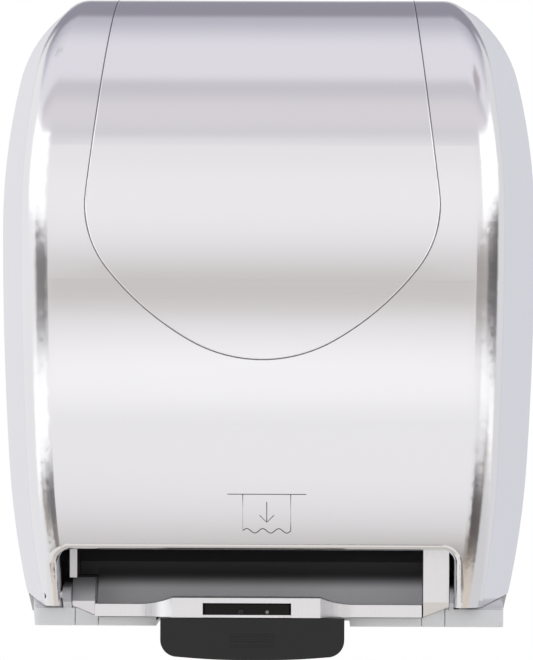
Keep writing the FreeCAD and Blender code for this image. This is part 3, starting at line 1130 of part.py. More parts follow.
doc.recompute()
for item in doc.Objects:
    if "Invalid" in item.State or "Error" in item.State:
        raise RuntimeError(f"{item.Name} failed: {item.State}")
os.makedirs("parts", exist_ok=True)
for item in sub_parts:
    shape = item.Shape
    if shape.isNull() or not shape.isValid():
        raise RuntimeError(f"{item.Label} has no valid shape")
    shape.exportStep(f"parts/{item.Label}.step")
    box = shape.BoundBox
    print(f"{item.Label:22s} {len(shape.Solids)} solids, {len(shape.Faces)} faces, volume {shape.Volume:.0f}, "
          f"x {box.XMin:.1f} {box.XMax:.1f}, y {box.YMin:.1f} {box.YMax:.1f}, z {box.ZMin:.1f} {box.ZMax:.1f}")
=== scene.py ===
"""Looks of the automatic roll towel dispenser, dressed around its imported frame.

Everything is in metres, in the frame's own axes: X to the viewer's right, Y into the wall, Z up.
"""

import logging
import math
from dataclasses import dataclass
from enum import Enum
from typing import Any, Union

import bmesh
import bpy
from mathutils import Matrix, Quaternion, Vector

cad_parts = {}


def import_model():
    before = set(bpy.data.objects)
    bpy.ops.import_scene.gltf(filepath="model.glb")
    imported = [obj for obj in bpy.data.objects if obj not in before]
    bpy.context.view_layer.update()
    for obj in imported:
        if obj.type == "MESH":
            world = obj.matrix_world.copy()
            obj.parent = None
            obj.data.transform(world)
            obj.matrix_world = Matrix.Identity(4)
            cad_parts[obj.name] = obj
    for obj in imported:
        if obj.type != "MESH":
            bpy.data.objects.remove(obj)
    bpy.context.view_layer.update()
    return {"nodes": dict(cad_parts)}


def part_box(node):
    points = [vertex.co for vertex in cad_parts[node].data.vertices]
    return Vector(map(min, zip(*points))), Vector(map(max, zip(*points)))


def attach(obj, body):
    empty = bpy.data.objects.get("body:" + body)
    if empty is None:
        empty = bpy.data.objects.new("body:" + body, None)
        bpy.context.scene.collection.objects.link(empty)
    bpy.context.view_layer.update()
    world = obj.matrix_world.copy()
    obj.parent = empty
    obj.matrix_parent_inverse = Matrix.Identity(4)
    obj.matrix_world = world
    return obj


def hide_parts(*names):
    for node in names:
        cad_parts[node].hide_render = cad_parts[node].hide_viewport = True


log = logging.getLogger("dispenser")

MM = 0.001
SHARP_ANGLE = math.radians(40)
BAR_STEPS = 3
Colour = tuple[float, float, float]
Tone = Colour | bpy.types.NodeSocket
Number = Union["Value", float]


class Axis(Enum):
    """The direction along which a finish is brushed."""

    ACROSS = 0
    DEEP = 1
    UPRIGHT = 2


class Value:
    """A number that changes over a surface: a shader socket with Python's arithmetic."""

    def __init__(self, graph: "Graph", socket: bpy.types.NodeSocket) -> None:
        """Wrap a socket.

        Args:
            graph: the node graph that the socket is in.
            socket: an output socket that carries one number.
        """
        self.graph = graph
        self.socket = socket

    def __add__(self, other: Number) -> "Value":
        """Return self + other."""
        return self.graph.math("ADD", self, other)

    def __radd__(self, other: Number) -> "Value":
        """Return other + self."""
        return self.graph.math("ADD", other, self)

    def __sub__(self, other: Number) -> "Value":
        """Return self - other."""
        return self.graph.math("SUBTRACT", self, other)

    def __rsub__(self, other: Number) -> "Value":
        """Return other - self."""
        return self.graph.math("SUBTRACT", other, self)

    def __mul__(self, other: Number) -> "Value":
        """Return self * other."""
        return self.graph.math("MULTIPLY", self, other)

    def __rmul__(self, other: Number) -> "Value":
        """Return other * self."""
        return self.graph.math("MULTIPLY", other, self)

    def __abs__(self) -> "Value":
        """Return the number without its sign."""
        return self.graph.math("ABSOLUTE", self)

    def step(self, low: float, high: float) -> "Value":
        """Return a smooth step from 0 at low to 1 at high.

        Args:
            low: where the step starts.
            high: where it ends.

        Returns:
            The step's height.
        """
        rising = self.graph.node(
            "ShaderNodeMapRange",
            {"interpolation_type": "SMOOTHSTEP"},
            {"Value": self, "From Min": low, "From Max": high},
        )
        return Value(self.graph, rising.outputs["Result"])

    def band(self, low: float, high: float, soft: float) -> "Value":
        """Return 1 between two limits and 0 outside, with soft edges.

        Args:
            low: the lower limit, at the middle of its edge.
            high: the upper limit, at the middle of its edge.
            soft: the width of each edge.

        Returns:
            The band's height.
        """
        return self.step(low - soft / 2, low + soft / 2) * (
            1 - self.step(high - soft / 2, high + soft / 2)
        )


class Graph:
    """A node tree and the few ways in which nodes are added to it."""

    def __init__(self, tree: bpy.types.NodeTree) -> None:
        """Take over a node tree and empty it.

        Args:
            tree: a material's or the world's node tree.
        """
        self.tree = tree
        tree.nodes.clear()

    def node(
        self,
        kind: str,
        settings: dict[str, Any] | None = None,
        inputs: dict[Any, Any] | None = None,
    ) -> bpy.types.Node:
        """Add one node.

        Args:
            kind: the node's type name.
            settings: the node's own properties, set first.
            inputs: what each input socket holds: a number, a colour, a socket or a Value.

        Returns:
            The new node.
        """
        made = self.tree.nodes.new(kind)
        for name, setting in (settings or {}).items():
            setattr(made, name, setting)
        for name, held in (inputs or {}).items():
            if isinstance(held, Value):
                held = held.socket
            if isinstance(held, bpy.types.NodeSocket):
                self.tree.links.new(held, made.inputs[name])
            else:
                made.inputs[name].default_value = held
        return made

    def math(self, operation: str, *operands: Number) -> Value:
        """Add a Math node.

        Args:
            operation: the node's operation.
            operands: one to three numbers or Values.

        Returns:
            The result.
        """
        made = self.node(
            "ShaderNodeMath", {"operation": operation}, dict(enumerate(operands))
        )
        return Value(self, made.outputs["Value"])

    def axes(self, vector: bpy.types.NodeSocket) -> tuple[Value, Value, Value]:
        """Return the three numbers of a vector socket."""
        parts = self.node("ShaderNodeSeparateXYZ", inputs={"Vector": vector})
        return tuple(Value(self, parts.outputs[name]) for name in "XYZ")

    def place(self) -> bpy.types.NodeSocket:
        """Return the place on the piece, in the frame's metres."""
        return self.node("ShaderNodeTexCoord").outputs["Object"]

    def facing(self) -> tuple[Value, Value, Value]:
        """Return the three numbers of the surface's own direction."""
        return self.axes(self.node("ShaderNodeTexCoord").outputs["Normal"])

    def noise(
        self, scale: tuple[float, float, float], detail: float = 2.0, rough: float = 0.5
    ) -> Value:
        """Return noise over the piece.

        Args:
            scale: how many grains there are in a metre along each axis.
            detail: how many finer layers it has.
            rough: how strong each finer layer is.

        Returns:
            A number about 0.5.
        """
        spread = self.node(
            "ShaderNodeMapping",
            {"vector_type": "POINT"},
            {"Vector": self.place(), "Scale": scale},
        )
        made = self.node(
            "ShaderNodeTexNoise",
            {"noise_dimensions": "3D"},
            {
                "Vector": spread.outputs["Vector"],
                "Scale": 1.0,
                "Detail": detail,
                "Roughness": rough,
            },
        )
        return Value(self, made.outputs["Fac"])

    def blend(
        self, share: Number, first: Tone, second: Tone
    ) -> bpy.types.NodeSocket:
        """Return a colour between two others.

        Args:
            share: 0 for the first colour and 1 for the second.
            first: a colour or a colour socket.
            second: a colour or a colour socket.

        Returns:
            The mixed colour's socket.
        """
        ends = [
            end if isinstance(end, bpy.types.NodeSocket) else (*end, 1.0) for end in (first, second)
        ]
        mixed = self.node(
            "ShaderNodeMix",
            {"data_type": "RGBA", "clamp_factor": True},
            {0: share, 6: ends[0], 7: ends[1]},
        )
        return mixed.outputs[2]

    def bump(self, height: Value, depth: float) -> bpy.types.NodeSocket:
        """Return a surface direction that follows a relief.

        Args:
            height: the relief, from 0 to 1.
            depth: how deep the relief is, in metres.

        Returns:
            The direction's socket.
        """
        made = self.node(
            "ShaderNodeBump", inputs={"Height": height, "Distance": depth, "Strength": 1.0}
        )
        return made.outputs["Normal"]

    def finish(self, **inputs: Any) -> None:
        """Close a material with one Principled surface, whose sockets are named with _ for a space."""
        sockets = {name.replace("_", " "): held for name, held in inputs.items()}
        surface = self.node("ShaderNodeBsdfPrincipled", inputs=sockets)
        self.node("ShaderNodeOutputMaterial", inputs={"Surface": surface.outputs["BSDF"]})


@dataclass(frozen=True)
class Finish:
    """What every finish has: a name, a colour and a roughness."""

    name: str
    colour: Colour
    roughness: float

    def material(self) -> bpy.types.Material:
        """Return the finish as a new material."""
        made = bpy.data.materials.new(self.name)
        made.use_nodes = True
        self.shade(Graph(made.node_tree))
        return made

    def shade(self, graph: Graph) -> None:
        """Fill the material's node graph; each kind of finish has its own way."""
        raise NotImplementedError

    def tone(self, factor: float) -> Colour:
        """Return the finish's colour, lighter or darker by a factor."""
        return tuple(min(1.0, part * factor) for part in self.colour)


@dataclass(frozen=True)
class PearlMetal(Finish):
    """Metallised plastic with a fine level grain under a clear lacquer, left bare on its inner side."""

    inner: Colour = (0.55, 0.56, 0.56)
    inner_roughness: float = 0.5
    heart_depth: float = -0.100
    heart_height: float = 0.030
    skin_depth: float = 0.004
    rim_start: float = 0.118
    rim_full: float = 0.132
    lines: float = 2400.0
    run: float = 6.0
    contrast: float = 0.022
    relief: float = 0.0000004
    edge_blur: float = 0.05
    lacquer: float = 0.12

    def shade(self, graph: Graph) -> None:
        """Lay the grain level on the face and the sides, and across on the crown."""
        side, deep, up = graph.facing()
        across, back, height = graph.axes(graph.place())
        outward = across * side + (back - self.heart_depth) * deep + (height - self.heart_height) * up
        skin = outward.step(0.0, self.skin_depth)
        level = graph.noise((self.run, self.run, self.lines), 3.0, 0.65)
        crown = graph.noise((self.run, self.lines, self.run), 3.0, 0.65)
        grain = level + abs(up).step(0.70, 0.85) * (crown - level)
        cloud = graph.noise((9.0, 9.0, 14.0), 2.0, 0.5)
        metal = graph.blend(grain, self.tone(1 - self.contrast), self.tone(1 + self.contrast))
        rim = abs(across).step(self.rim_start, self.rim_full)
        shine = self.roughness + rim * self.edge_blur + (grain - 0.5) * 0.06 + (cloud - 0.5) * 0.02
        graph.finish(
            Base_Color=graph.blend(skin, self.inner, metal),
            Metallic=skin,
            Roughness=self.inner_roughness + skin * (shine - self.inner_roughness),
            Coat_Weight=skin * self.lacquer,
            Coat_Roughness=0.06,
            Normal=graph.bump(grain, self.relief),
        )


@dataclass(frozen=True)
class BrushedMetal(Finish):
    """Metal, or plastic plated like it, brushed one way."""

    along: Axis = Axis.UPRIGHT
    lines: float = 1600.0
    run: float = 25.0
    contrast: float = 0.10
    metal: float = 1.0
    relief: float = 0.00002

    def shade(self, graph: Graph) -> None:
        """Stretch fine noise along the brushing."""
        scale = [self.lines] * 3
        scale[self.along.value] = self.run
        grain = graph.noise(tuple(scale), 3.0, 0.6)
        colour = graph.blend(grain, self.tone(1 - self.contrast), self.tone(1 + self.contrast))
        graph.finish(
            Base_Color=colour,
            Metallic=self.metal,
            Roughness=self.roughness + (grain - 0.5) * 0.16,
            Normal=graph.bump(grain, self.relief),
        )


@dataclass(frozen=True)
class MouldedPlastic(Finish):
    """Moulded plastic with a spark-eroded texture."""

    grains: float = 1800.0
    relief: float = 0.00003
    mottle: float = 0.04
    coat: float = 0.0

    def shade(self, graph: Graph) -> None:
        """Give the plastic its fine texture and slightly uneven tone."""
        texture = graph.noise((self.grains,) * 3, 2.0, 0.6)
        uneven = graph.noise((22.0, 22.0, 22.0), 3.0, 0.55)
        colour = graph.blend(uneven, self.tone(1 - self.mottle), self.tone(1 + self.mottle))
        graph.finish(
            Base_Color=colour,
            Roughness=self.roughness + (texture - 0.5) * 0.10 + (uneven - 0.5) * 0.08,
            Coat_Weight=self.coat,
            Coat_Roughness=0.10,
            Normal=graph.bump(texture, self.relief),
        )


@dataclass(frozen=True)
class GlossPlastic(Finish):
    """Polished moulded plastic, with faint flow ripples and wiping marks."""

    ripple: float = 0.00006
    mirror: float = 0.5
    mottle: float = 0.15

    def shade(self, graph: Graph) -> None:
        """Give the gloss its ripples and marks."""
        flow = graph.noise((14.0, 30.0, 30.0), 1.0, 0.5)
        wipes = graph.noise((260.0, 18.0, 40.0), 3.0, 0.6)
        colour = graph.blend(flow, self.tone(1 - self.mottle), self.tone(1 + self.mottle))
        graph.finish(
            Base_Color=colour,
            Roughness=self.roughness + (wipes - 0.5) * 0.08,
            Specular_IOR_Level=self.mirror,
            Normal=graph.bump(flow, self.ripple),
        )


@dataclass(frozen=True)
class SmokedBlock(Finish):
    """Smoked plastic with painted light, lighter towards its foot and in painted shade at its top, with
    a plated strip that carries the lip on.
    """

    plate: Colour = (0.88, 0.87, 0.89)
    plate_roughness: float = 0.25
    strip_top: float = -0.1598
    painted_lit_tone: Colour = (0.50, 0.50, 0.51)
    painted_light_low: float = -0.1605
    painted_light_high: float = -0.1455

    def shade(self, graph: Graph) -> None:
        """Plate the block below the strip's top and smoke the rest, with painted light that lightens
        the smoke towards the foot.
        """
        _, _, height = graph.axes(graph.place())
        foot = 1 - height.step(self.strip_top - 0.0001, self.strip_top + 0.0001)
        flow = graph.noise((30.0, 30.0, 14.0), 2.0, 0.5)
        smoke = graph.blend(flow, self.tone(0.8), self.tone(1.2))
        # Painted light: the smoke turns pale grey towards the foot and stays dark, in painted shade,
        # higher up.
        smoke = graph.blend(height.step(self.painted_light_low, self.painted_light_high), self.painted_lit_tone, smoke)
        shine = self.roughness + foot * (self.plate_roughness - self.roughness)
        graph.finish(
            Base_Color=graph.blend(foot, smoke, self.plate),
            Metallic=foot,
            Roughness=shine + (flow - 0.5) * 0.05,
        )


@dataclass(frozen=True)
class SatinSheen(Finish):
    """Dark satin plate with painted light: it is painted lighter where it faces up, towards the light.
    """

    painted_light_colour: Colour = (0.94, 0.94, 0.96)
    start: float = 0.20
    full: float = 0.66

    def shade(self, graph: Graph) -> None:
        """Paint light on the plate by how far it faces up."""
        _, _, up = graph.facing()
        lift = up.step(self.start, self.full)
        brush = graph.noise((4.0, 900.0, 900.0), 2.0, 0.6)
        # Painted light: the colour runs from the dark plate to a pale one as the surface turns up.
        graph.finish(
            Base_Color=graph.blend(lift * lift, self.tone(1.0), self.painted_light_colour),
            Roughness=self.roughness + (brush - 0.5) * 0.10,
        )


@dataclass(frozen=True)
class GroundRubber(Finish):
    """Rubber ground to size on its shaft, with rings from the wheel."""

    relief: float = 0.00005
    dusty: float = 1.8

    def shade(self, graph: Graph) -> None:
        """Give the rubber its grinding rings and dust."""
        rings = graph.noise((1400.0, 60.0, 60.0), 2.0, 0.6)
        dust = graph.noise((90.0, 90.0, 90.0), 4.0, 0.6).step(0.50, 0.75)
        graph.finish(
            Base_Color=graph.blend(dust, self.colour, self.tone(self.dusty)),
            Roughness=self.roughness + (rings - 0.5) * 0.12,
            Normal=graph.bump(rings, self.relief),
        )


@dataclass(frozen=True)
class CircuitBoard(Finish):
    """Green lacquered board with faint copper tracks under the lacquer."""

    pitch: float = 0.0025
    relief: float = 0.00004
    copper: float = 1.7

    def shade(self, graph: Graph) -> None:
        """Draw level tracks that stop and start."""
        _, _, height = graph.axes(graph.place())
        lines = graph.math("SINE", height * (2 * math.pi / self.pitch))
        parts = graph.noise((120.0, 120.0, 120.0), 0.0, 0.5).step(0.48, 0.52)
        track = lines.step(0.2, 0.4) * parts
        graph.finish(
            Base_Color=graph.blend(track, self.colour, self.tone(self.copper)),
            Roughness=self.roughness,
            Normal=graph.bump(track, self.relief),
        )


@dataclass(frozen=True)
class CellSleeve(Finish):
    """Battery cell in a printed sleeve: a dark body with a bright band at one end."""

    start: float = 0.0
    pitch: float = 0.0623
    share: float = 0.24
    band: Colour = (0.55, 0.36, 0.12)
    cap: Colour = (0.6, 0.6, 0.6)

    def shade(self, graph: Graph) -> None:
        """Colour the sleeve by its place along the cell."""
        across, _, _ = graph.axes(graph.place())
        along = graph.math("FRACT", (across - self.start) * (1 / self.pitch))
        banded = along.band(1 - self.share, 1.2, 0.004)
        capped = 1 - along.band(0.02, 0.97, 0.004)
        base = graph.blend(banded, self.colour, self.band)
        graph.finish(
            Base_Color=graph.blend(capped, base, self.cap),
            Metallic=0.3 + capped * 0.7,
            Roughness=self.roughness + graph.noise((40.0, 40.0, 40.0)) * 0.1,
        )


@dataclass(frozen=True)
class LampLens(Finish):
    """Small frosted dome over a lamp."""

    glow: float = 0.0

    def shade(self, graph: Graph) -> None:
        """Give the dome its fine haze and its glow."""
        haze = graph.noise((900.0, 900.0, 900.0), 1.0)
        graph.finish(
            Base_Color=graph.blend(haze, self.tone(0.8), self.tone(1.2)),
            Roughness=self.roughness,
            Coat_Weight=1.0,
            Coat_Roughness=0.02,
            Emission_Color=(*self.colour, 1.0),
            Emission_Strength=self.glow,
        )


PEARL = PearlMetal("pearl_metal", (0.87, 0.865, 0.875), 0.13)
PEARL_PANEL = PearlMetal("pearl_metal_panel", (0.87, 0.865, 0.875), 0.13)
BRIGHT = BrushedMetal("bright_plate", (0.97, 0.965, 0.975), 0.30, contrast=0.05, relief=0.000004)
HOUSING = MouldedPlastic("housing_grey", (0.62, 0.63, 0.62), 0.48)
TRAY = MouldedPlastic("tray_grey", (0.82, 0.84, 0.825), 0.36, coat=0.15)
# The chute's finish carries painted light and is pale where it faces up.
CHUTE = SatinSheen("chute_satin", (0.018, 0.017, 0.019), 0.48)
CHEEK = BrushedMetal("cheek_plate", (0.69, 0.685, 0.695), 0.30, contrast=0.05, relief=0.000004)
SMOKED = SmokedBlock("smoked_block", (0.095, 0.094, 0.098), 0.36)
MODULE = MouldedPlastic("module_grey", (0.045, 0.045, 0.048), 0.50)
LEVER = MouldedPlastic("lever_black", (0.0100, 0.0094, 0.0096), 0.46, grains=1500.0, relief=0.00003)
WINDOW = GlossPlastic("smoked_window", (0.007, 0.004, 0.004), 0.12, mirror=0.22)
BEZEL = GlossPlastic("black_bezel", (0.002, 0.002, 0.002), 0.30, mirror=0.10)
LENS = GlossPlastic("sensor_dome", (0.002, 0.002, 0.003), 0.06, mirror=0.45)
LAMP = LampLens("status_dome", (0.20, 0.20, 0.19), 0.15, glow=0.03)
STEEL = BrushedMetal("brushed_steel", (0.60, 0.60, 0.61), 0.30, along=Axis.ACROSS)
# Near-black steel, used for the tear bar.
DARK_STEEL = BrushedMetal("dark_steel", (0.030, 0.030, 0.032), 0.42, along=Axis.ACROSS)
WIRE = BrushedMetal("spring_wire", (0.50, 0.50, 0.51), 0.26, along=Axis.UPRIGHT, run=300.0)
RUBBER = GroundRubber("ground_rubber", (0.030, 0.030, 0.030), 0.72)
GEAR = MouldedPlastic("natural_acetal", (0.80, 0.79, 0.74), 0.34, mottle=0.02)
BOARD = CircuitBoard("green_board", (0.015, 0.090, 0.035), 0.28)
CELL = CellSleeve("cell_sleeve", (0.022, 0.022, 0.026), 0.28, start=-0.0924)
CONTACT = BrushedMetal("plated_contact", (0.72, 0.62, 0.38), 0.26, along=Axis.UPRIGHT)
HUB = MouldedPlastic("blue_hub", (0.035, 0.085, 0.23), 0.38)
CONTROL = MouldedPlastic("control_grey", (0.36, 0.37, 0.38), 0.42)
BUTTON = MouldedPlastic("button_blue", (0.04, 0.11, 0.32), 0.30)
SHELF = MouldedPlastic("shelf_pale", (0.74, 0.74, 0.76), 0.35, coat=0.2)
CHROME = BrushedMetal("chrome_plate", (0.80, 0.80, 0.81), 0.10, contrast=0.02, relief=0.000004)
# Painted shadow: a dark wire that stands for the shade in the cover's seam.
SEAM_SHADOW = BrushedMetal("seam_shadow_wire", (0.24, 0.24, 0.25), 0.25, contrast=0.02, relief=0.000004)
ROLLED = BrushedMetal("rolled_edge", (0.98, 0.98, 0.99), 0.12, contrast=0.01, relief=0.000002)
INK = MouldedPlastic("printing_ink", (0.085, 0.070, 0.070), 0.55)
FLOOR = MouldedPlastic("floor_pale", (0.86, 0.86, 0.86), 0.6, grains=200.0, relief=0.0001, mottle=0.01)

NODE_FINISHES = {
    PEARL: ["front_cover"],
    PEARL_PANEL: ["cover_panel"],
    BRIGHT: ["front_lip", "gear_housing", "gear_housing_lid"],
    CHEEK: ["left_cheek"],
    HOUSING: ["rear_housing"],
    TRAY: ["base_tray"],
    CHUTE: ["paper_chute"],
    SMOKED: ["left_end_block", "hinge_bracket_left", "hinge_bracket_right"],
    MODULE: ["module_fascia", "module_cover", "battery_box", "battery_door", "pinch_carriage"],
    LEVER: ["push_lever"],
    WINDOW: ["sensor_window"],
    LENS: ["sensor_lens"],
    LAMP: ["status_led"],
    STEEL: [
        "hinge_pins", "module_screws", "idler_pin", "drive_motor", "carriage_shaft", "lever_shaft",
        "arm_hinge_pins", "feed_shaft", "latch_strike", "cover_magnet",
    ],
    DARK_STEEL: ["tear_bar"],
    WIRE: ["lever_return_spring"],
    RUBBER: ["feed_sleeves", "pinch_rollers"],
    GEAR: ["roller_gear", "idler_gear", "motor_pinion", "clutch_gear", "shaft_bushings"],
    BOARD: ["control_board"],
    CELL: ["battery_cells"],
    CONTACT: ["battery_contacts"],
    HUB: ["core_hub_left", "core_hub_right"],
    CONTROL: ["control_box", "roll_arm_left", "roll_arm_right"],
    BUTTON: ["feed_button", "towel_length_switch", "delay_switch"],
    CHROME: ["lock_barrel", "lock_plug", "latch_cam"],
}


@dataclass(frozen=True)
class Card:
    """A lit or dark card of the studio over the crown or before the face.

    turn is the angle over the crown, from the camera at 0 through the ceiling at 90 to the wall at 180,
    and below 0 under the camera.
    """

    name: str
    low: float
    high: float
    soft: float
    light: Colour


@dataclass(frozen=True)
class SideCard:
    """A lit or dark card beside the object, between two bearings and two heights, in degrees.

    The bearing is 0 at the camera, 90 at the viewer's right and -90 at the left.
    """

    name: str
    bearings: tuple[float, float]
    rises: tuple[float, float]
    soft: tuple[float, float]
    light: Colour


@dataclass
class Studio:
    """The camera, the pale floor and the soft light round the object."""

    place: tuple[float, float, float] = (0.060, -3.231, 0.0004)
    focal_pixels: float = 5160.0
    axis_column: float = 365.0
    image_width: int = 533
    image_height: int = 660
    roll: float = 0.20
    film: float = 36.0
    near: float = 0.1
    far: float = 50.0
    floor_height: float = -0.62
    floor_radius: float = 6.0
    floor_sides: int = 96
    room: Colour = (0.84, 0.83, 0.85)
    sweep: Colour = (1.0, 1.0, 1.0)

    cards: tuple[Card, ...] = (
        Card("ceiling", 28.0, 66.0, 4.0, (0.755, 0.73, 0.765)),
        Card("ceiling bar", 27.0, 33.5, 5.0, (0.70, 0.69, 0.71)),
        Card("upper gap", 53.0, 80.0, 14.0, (0.635, 0.615, 0.67)),
        Card("upper box", 66.0, 120.0, 8.0, (0.82, 0.80, 0.86)),
        Card("rear ceiling", 108.0, 400.0, 32.0, (0.54, 0.53, 0.60)),
        Card("back wall", 128.0, 400.0, 7.0, (0.31, 0.30, 0.355)),
        Card("key box", 4.0, 23.0, 7.0, (0.90, 0.88, 0.90)),
        Card("key core", 8.5, 18.0, 6.0, (0.955, 0.94, 0.955)),
        Card("front table", -400.0, -3.0, 1.2, (0.93, 0.92, 0.935)),
        Card("table shine", -13.0, -6.5, 4.0, (1.06, 1.05, 1.065)),
        Card("table fold", -15.2, -13.6, 1.5, (0.87, 0.865, 0.88)),
        Card("table end", -400.0, -24.8, 5.0, (0.80, 0.79, 0.795)),
        Card("table edge", -400.0, -28.0, 1.6, (0.27, 0.23, 0.20)),
        Card("near floor", -400.0, -38.0, 4.0, (0.84, 0.82, 0.80)),
        Card("floor", -400.0, -64.0, 6.0, (0.60, 0.56, 0.52)),
        Card("floor behind", -400.0, -100.0, 8.0, (0.62, 0.63, 0.62)),
        Card("flag edge", -2.8, 5.0, 5.0, (0.76, 0.75, 0.745)),
        Card("camera flag", -2.9, 2.2, 1.3, (0.62, 0.59, 0.575)),
    )
    side_cards: tuple[SideCard, ...] = (
        SideCard("left wing", (-150.0, -60.0), (-50.0, 36.0), (10.0, 8.0), (0.895, 0.89, 0.91)),
        SideCard("left wall", (-400.0, -140.0), (-50.0, 15.0), (10.0, 8.0), (0.81, 0.80, 0.835)),
        SideCard("right wing", (88.0, 150.0), (-50.0, 36.0), (8.0, 8.0), (0.78, 0.78, 0.80)),
        SideCard("right wall", (140.0, 400.0), (-50.0, 15.0), (10.0, 8.0), (0.69, 0.69, 0.745)),
        SideCard("left crease", (-114.0, -98.0), (65.0, 81.0), (6.0, 4.0), (0.62, 0.61, 0.65)),
        SideCard("right crease", (48.0, 84.0), (51.0, 66.0), (8.0, 4.0), (0.48, 0.45, 0.48)),
        SideCard("left box", (-88.0, -16.0), (8.3, 30.0), (9.0, 2.6), (1.35, 1.35, 1.37)),
        SideCard("left door", (-52.0, -12.0), (-6.0, 7.6), (11.0, 2.6), (0.15, 0.14, 0.14)),
        SideCard("left low box", (-74.0, -16.0), (-18.5, -7.2), (9.0, 2.2), (1.30, 1.30, 1.32)),
        SideCard("left floor", (-40.0, -9.0), (-27.0, -19.6), (9.0, 2.4), (0.13, 0.125, 0.13)),
        SideCard("left foot", (-400.0, -24.0), (-50.0, -27.0), (6.0, 3.0), (0.86, 0.85, 0.85)),
        SideCard("right box", (24.0, 100.0), (8.6, 30.0), (12.0, 2.6), (1.35, 1.35, 1.36)),
        SideCard("right shade", (7.0, 60.0), (-5.6, 6.6), (9.0, 2.6), (0.37, 0.34, 0.33)),
        SideCard("right door", (46.0, 94.0), (-5.6, 7.2), (9.0, 2.6), (0.08, 0.07, 0.07)),
        SideCard("right low box", (30.0, 94.0), (-13.0, -6.3), (9.0, 1.8), (1.30, 1.30, 1.32)),
        SideCard("right floor", (17.0, 60.0), (-30.5, -19.6), (9.0, 2.6), (0.085, 0.075, 0.075)),
        SideCard("right foot", (62.0, 400.0), (-50.0, -16.0), (8.0, 4.0), (0.70, 0.70, 0.72)),
        SideCard("leg light", (9.0, 66.0), (-56.0, -31.5), (6.0, 3.0), (0.74, 0.66, 0.58)),
    )

    def camera(self) -> None:
        """Place the camera where the photograph was taken from."""
        data = bpy.data.cameras.new("camera")
        data.sensor_width = self.film
        data.lens = self.focal_pixels / max(self.image_width, self.image_height) * self.film
        data.clip_start = self.near
        data.clip_end = self.far
        data.dof.use_dof = False
        made = bpy.data.objects.new("camera", data)
        bpy.context.scene.collection.objects.link(made)
        aim = Vector(((self.image_width / 2 - self.axis_column) / self.focal_pixels, 1.0, 0.0))
        made.location = self.place
        made.rotation_mode = "QUATERNION"
        roll = Quaternion((0.0, 0.0, 1.0), math.radians(self.roll))
        made.rotation_quaternion = aim.to_track_quat("-Z", "Y") @ roll
        bpy.context.scene.camera = made

    def floor(self) -> None:
        """Lay a round pale floor below the object."""
        mesh = bpy.data.meshes.new("floor")
        shape = bmesh.new()
        bmesh.ops.create_circle(
            shape, cap_ends=True, radius=self.floor_radius, segments=self.floor_sides
        )
        bmesh.ops.translate(shape, vec=(0.0, 0.0, self.floor_height), verts=shape.verts)
        shape.to_mesh(mesh)
        shape.free()
        made = bpy.data.objects.new("floor", mesh)
        bpy.context.scene.collection.objects.link(made)
        made.visible_glossy = False
        mesh.materials.append(FLOOR.material())

    def light(self) -> None:
        """Build the soft light: cards over the crown and at the sides, and a white sweep behind."""
        world = bpy.data.worlds.new("studio")
        world.use_nodes = True
        bpy.context.scene.world = world
        graph = Graph(world.node_tree)
        coordinates = graph.node("ShaderNodeTexCoord").outputs["Generated"]
        across, deep, up = graph.axes(coordinates)
        degrees = 180 / math.pi
        turn = graph.math("ARCTAN2", up, deep * -1) * degrees
        rise = graph.math("ARCSINE", up) * degrees
        bearing = graph.math("ARCTAN2", across, deep * -1) * degrees

        colour: Tone = self.room
        for card in self.cards:
            colour = graph.blend(turn.band(card.low, card.high, card.soft), colour, card.light)
        for card in self.side_cards:
            mask = bearing.band(*card.bearings, card.soft[0]) * rise.band(*card.rises, card.soft[1])
            colour = graph.blend(mask, colour, card.light)
        seen = Value(graph, graph.node("ShaderNodeLightPath").outputs["Is Camera Ray"])
        colour = graph.blend(seen, colour, self.sweep)
        background = graph.node("ShaderNodeBackground", inputs={"Color": colour, "Strength": 1.0})
        graph.node("ShaderNodeOutputWorld", inputs={"Surface": background.outputs["Background"]})

    def set_up(self) -> None:
        """Make the camera, the floor and the light."""
        bpy.context.scene.view_settings.view_transform = "Standard"
        self.camera()
        self.floor()
        self.light()
        log.info("studio: camera, floor and light")


def finished(
    name: str, mesh: bpy.types.Mesh, finish: Finish, body: str
) -> bpy.types.Object:
    """Turn a mesh into a piece that rides on a body.

    Args:
        name: the piece's name.
        mesh: its mesh, in place.
        finish: its finish.
        body: the body that carries it.

    Returns:
        The new piece.
    """
    mesh.materials.clear()
    mesh.materials.append(finish.material())
    made = bpy.data.objects.new(name, mesh)
    bpy.context.scene.collection.objects.link(made)
    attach(made, body)
    log.info("%s: %d faces", name, len(mesh.polygons))
    return made


def from_bmesh(name: str, shape: bmesh.types.BMesh) -> bpy.types.Mesh:
    """Return a bmesh as a mesh, with its faces outwards and smooth between sharp edges, and free it.

    Args:
        name: the mesh's name.
        shape: the bmesh.

    Returns:
        The mesh.
    """
    bmesh.ops.remove_doubles(shape, verts=shape.verts, dist=0.001 * MM)
    bmesh.ops.recalc_face_normals(shape, faces=shape.faces)
    mesh = bpy.data.meshes.new(name)
    shape.to_mesh(mesh)
    shape.free()
    mesh.shade_smooth()
    mesh.set_sharp_from_angle(angle=SHARP_ANGLE)
    return mesh


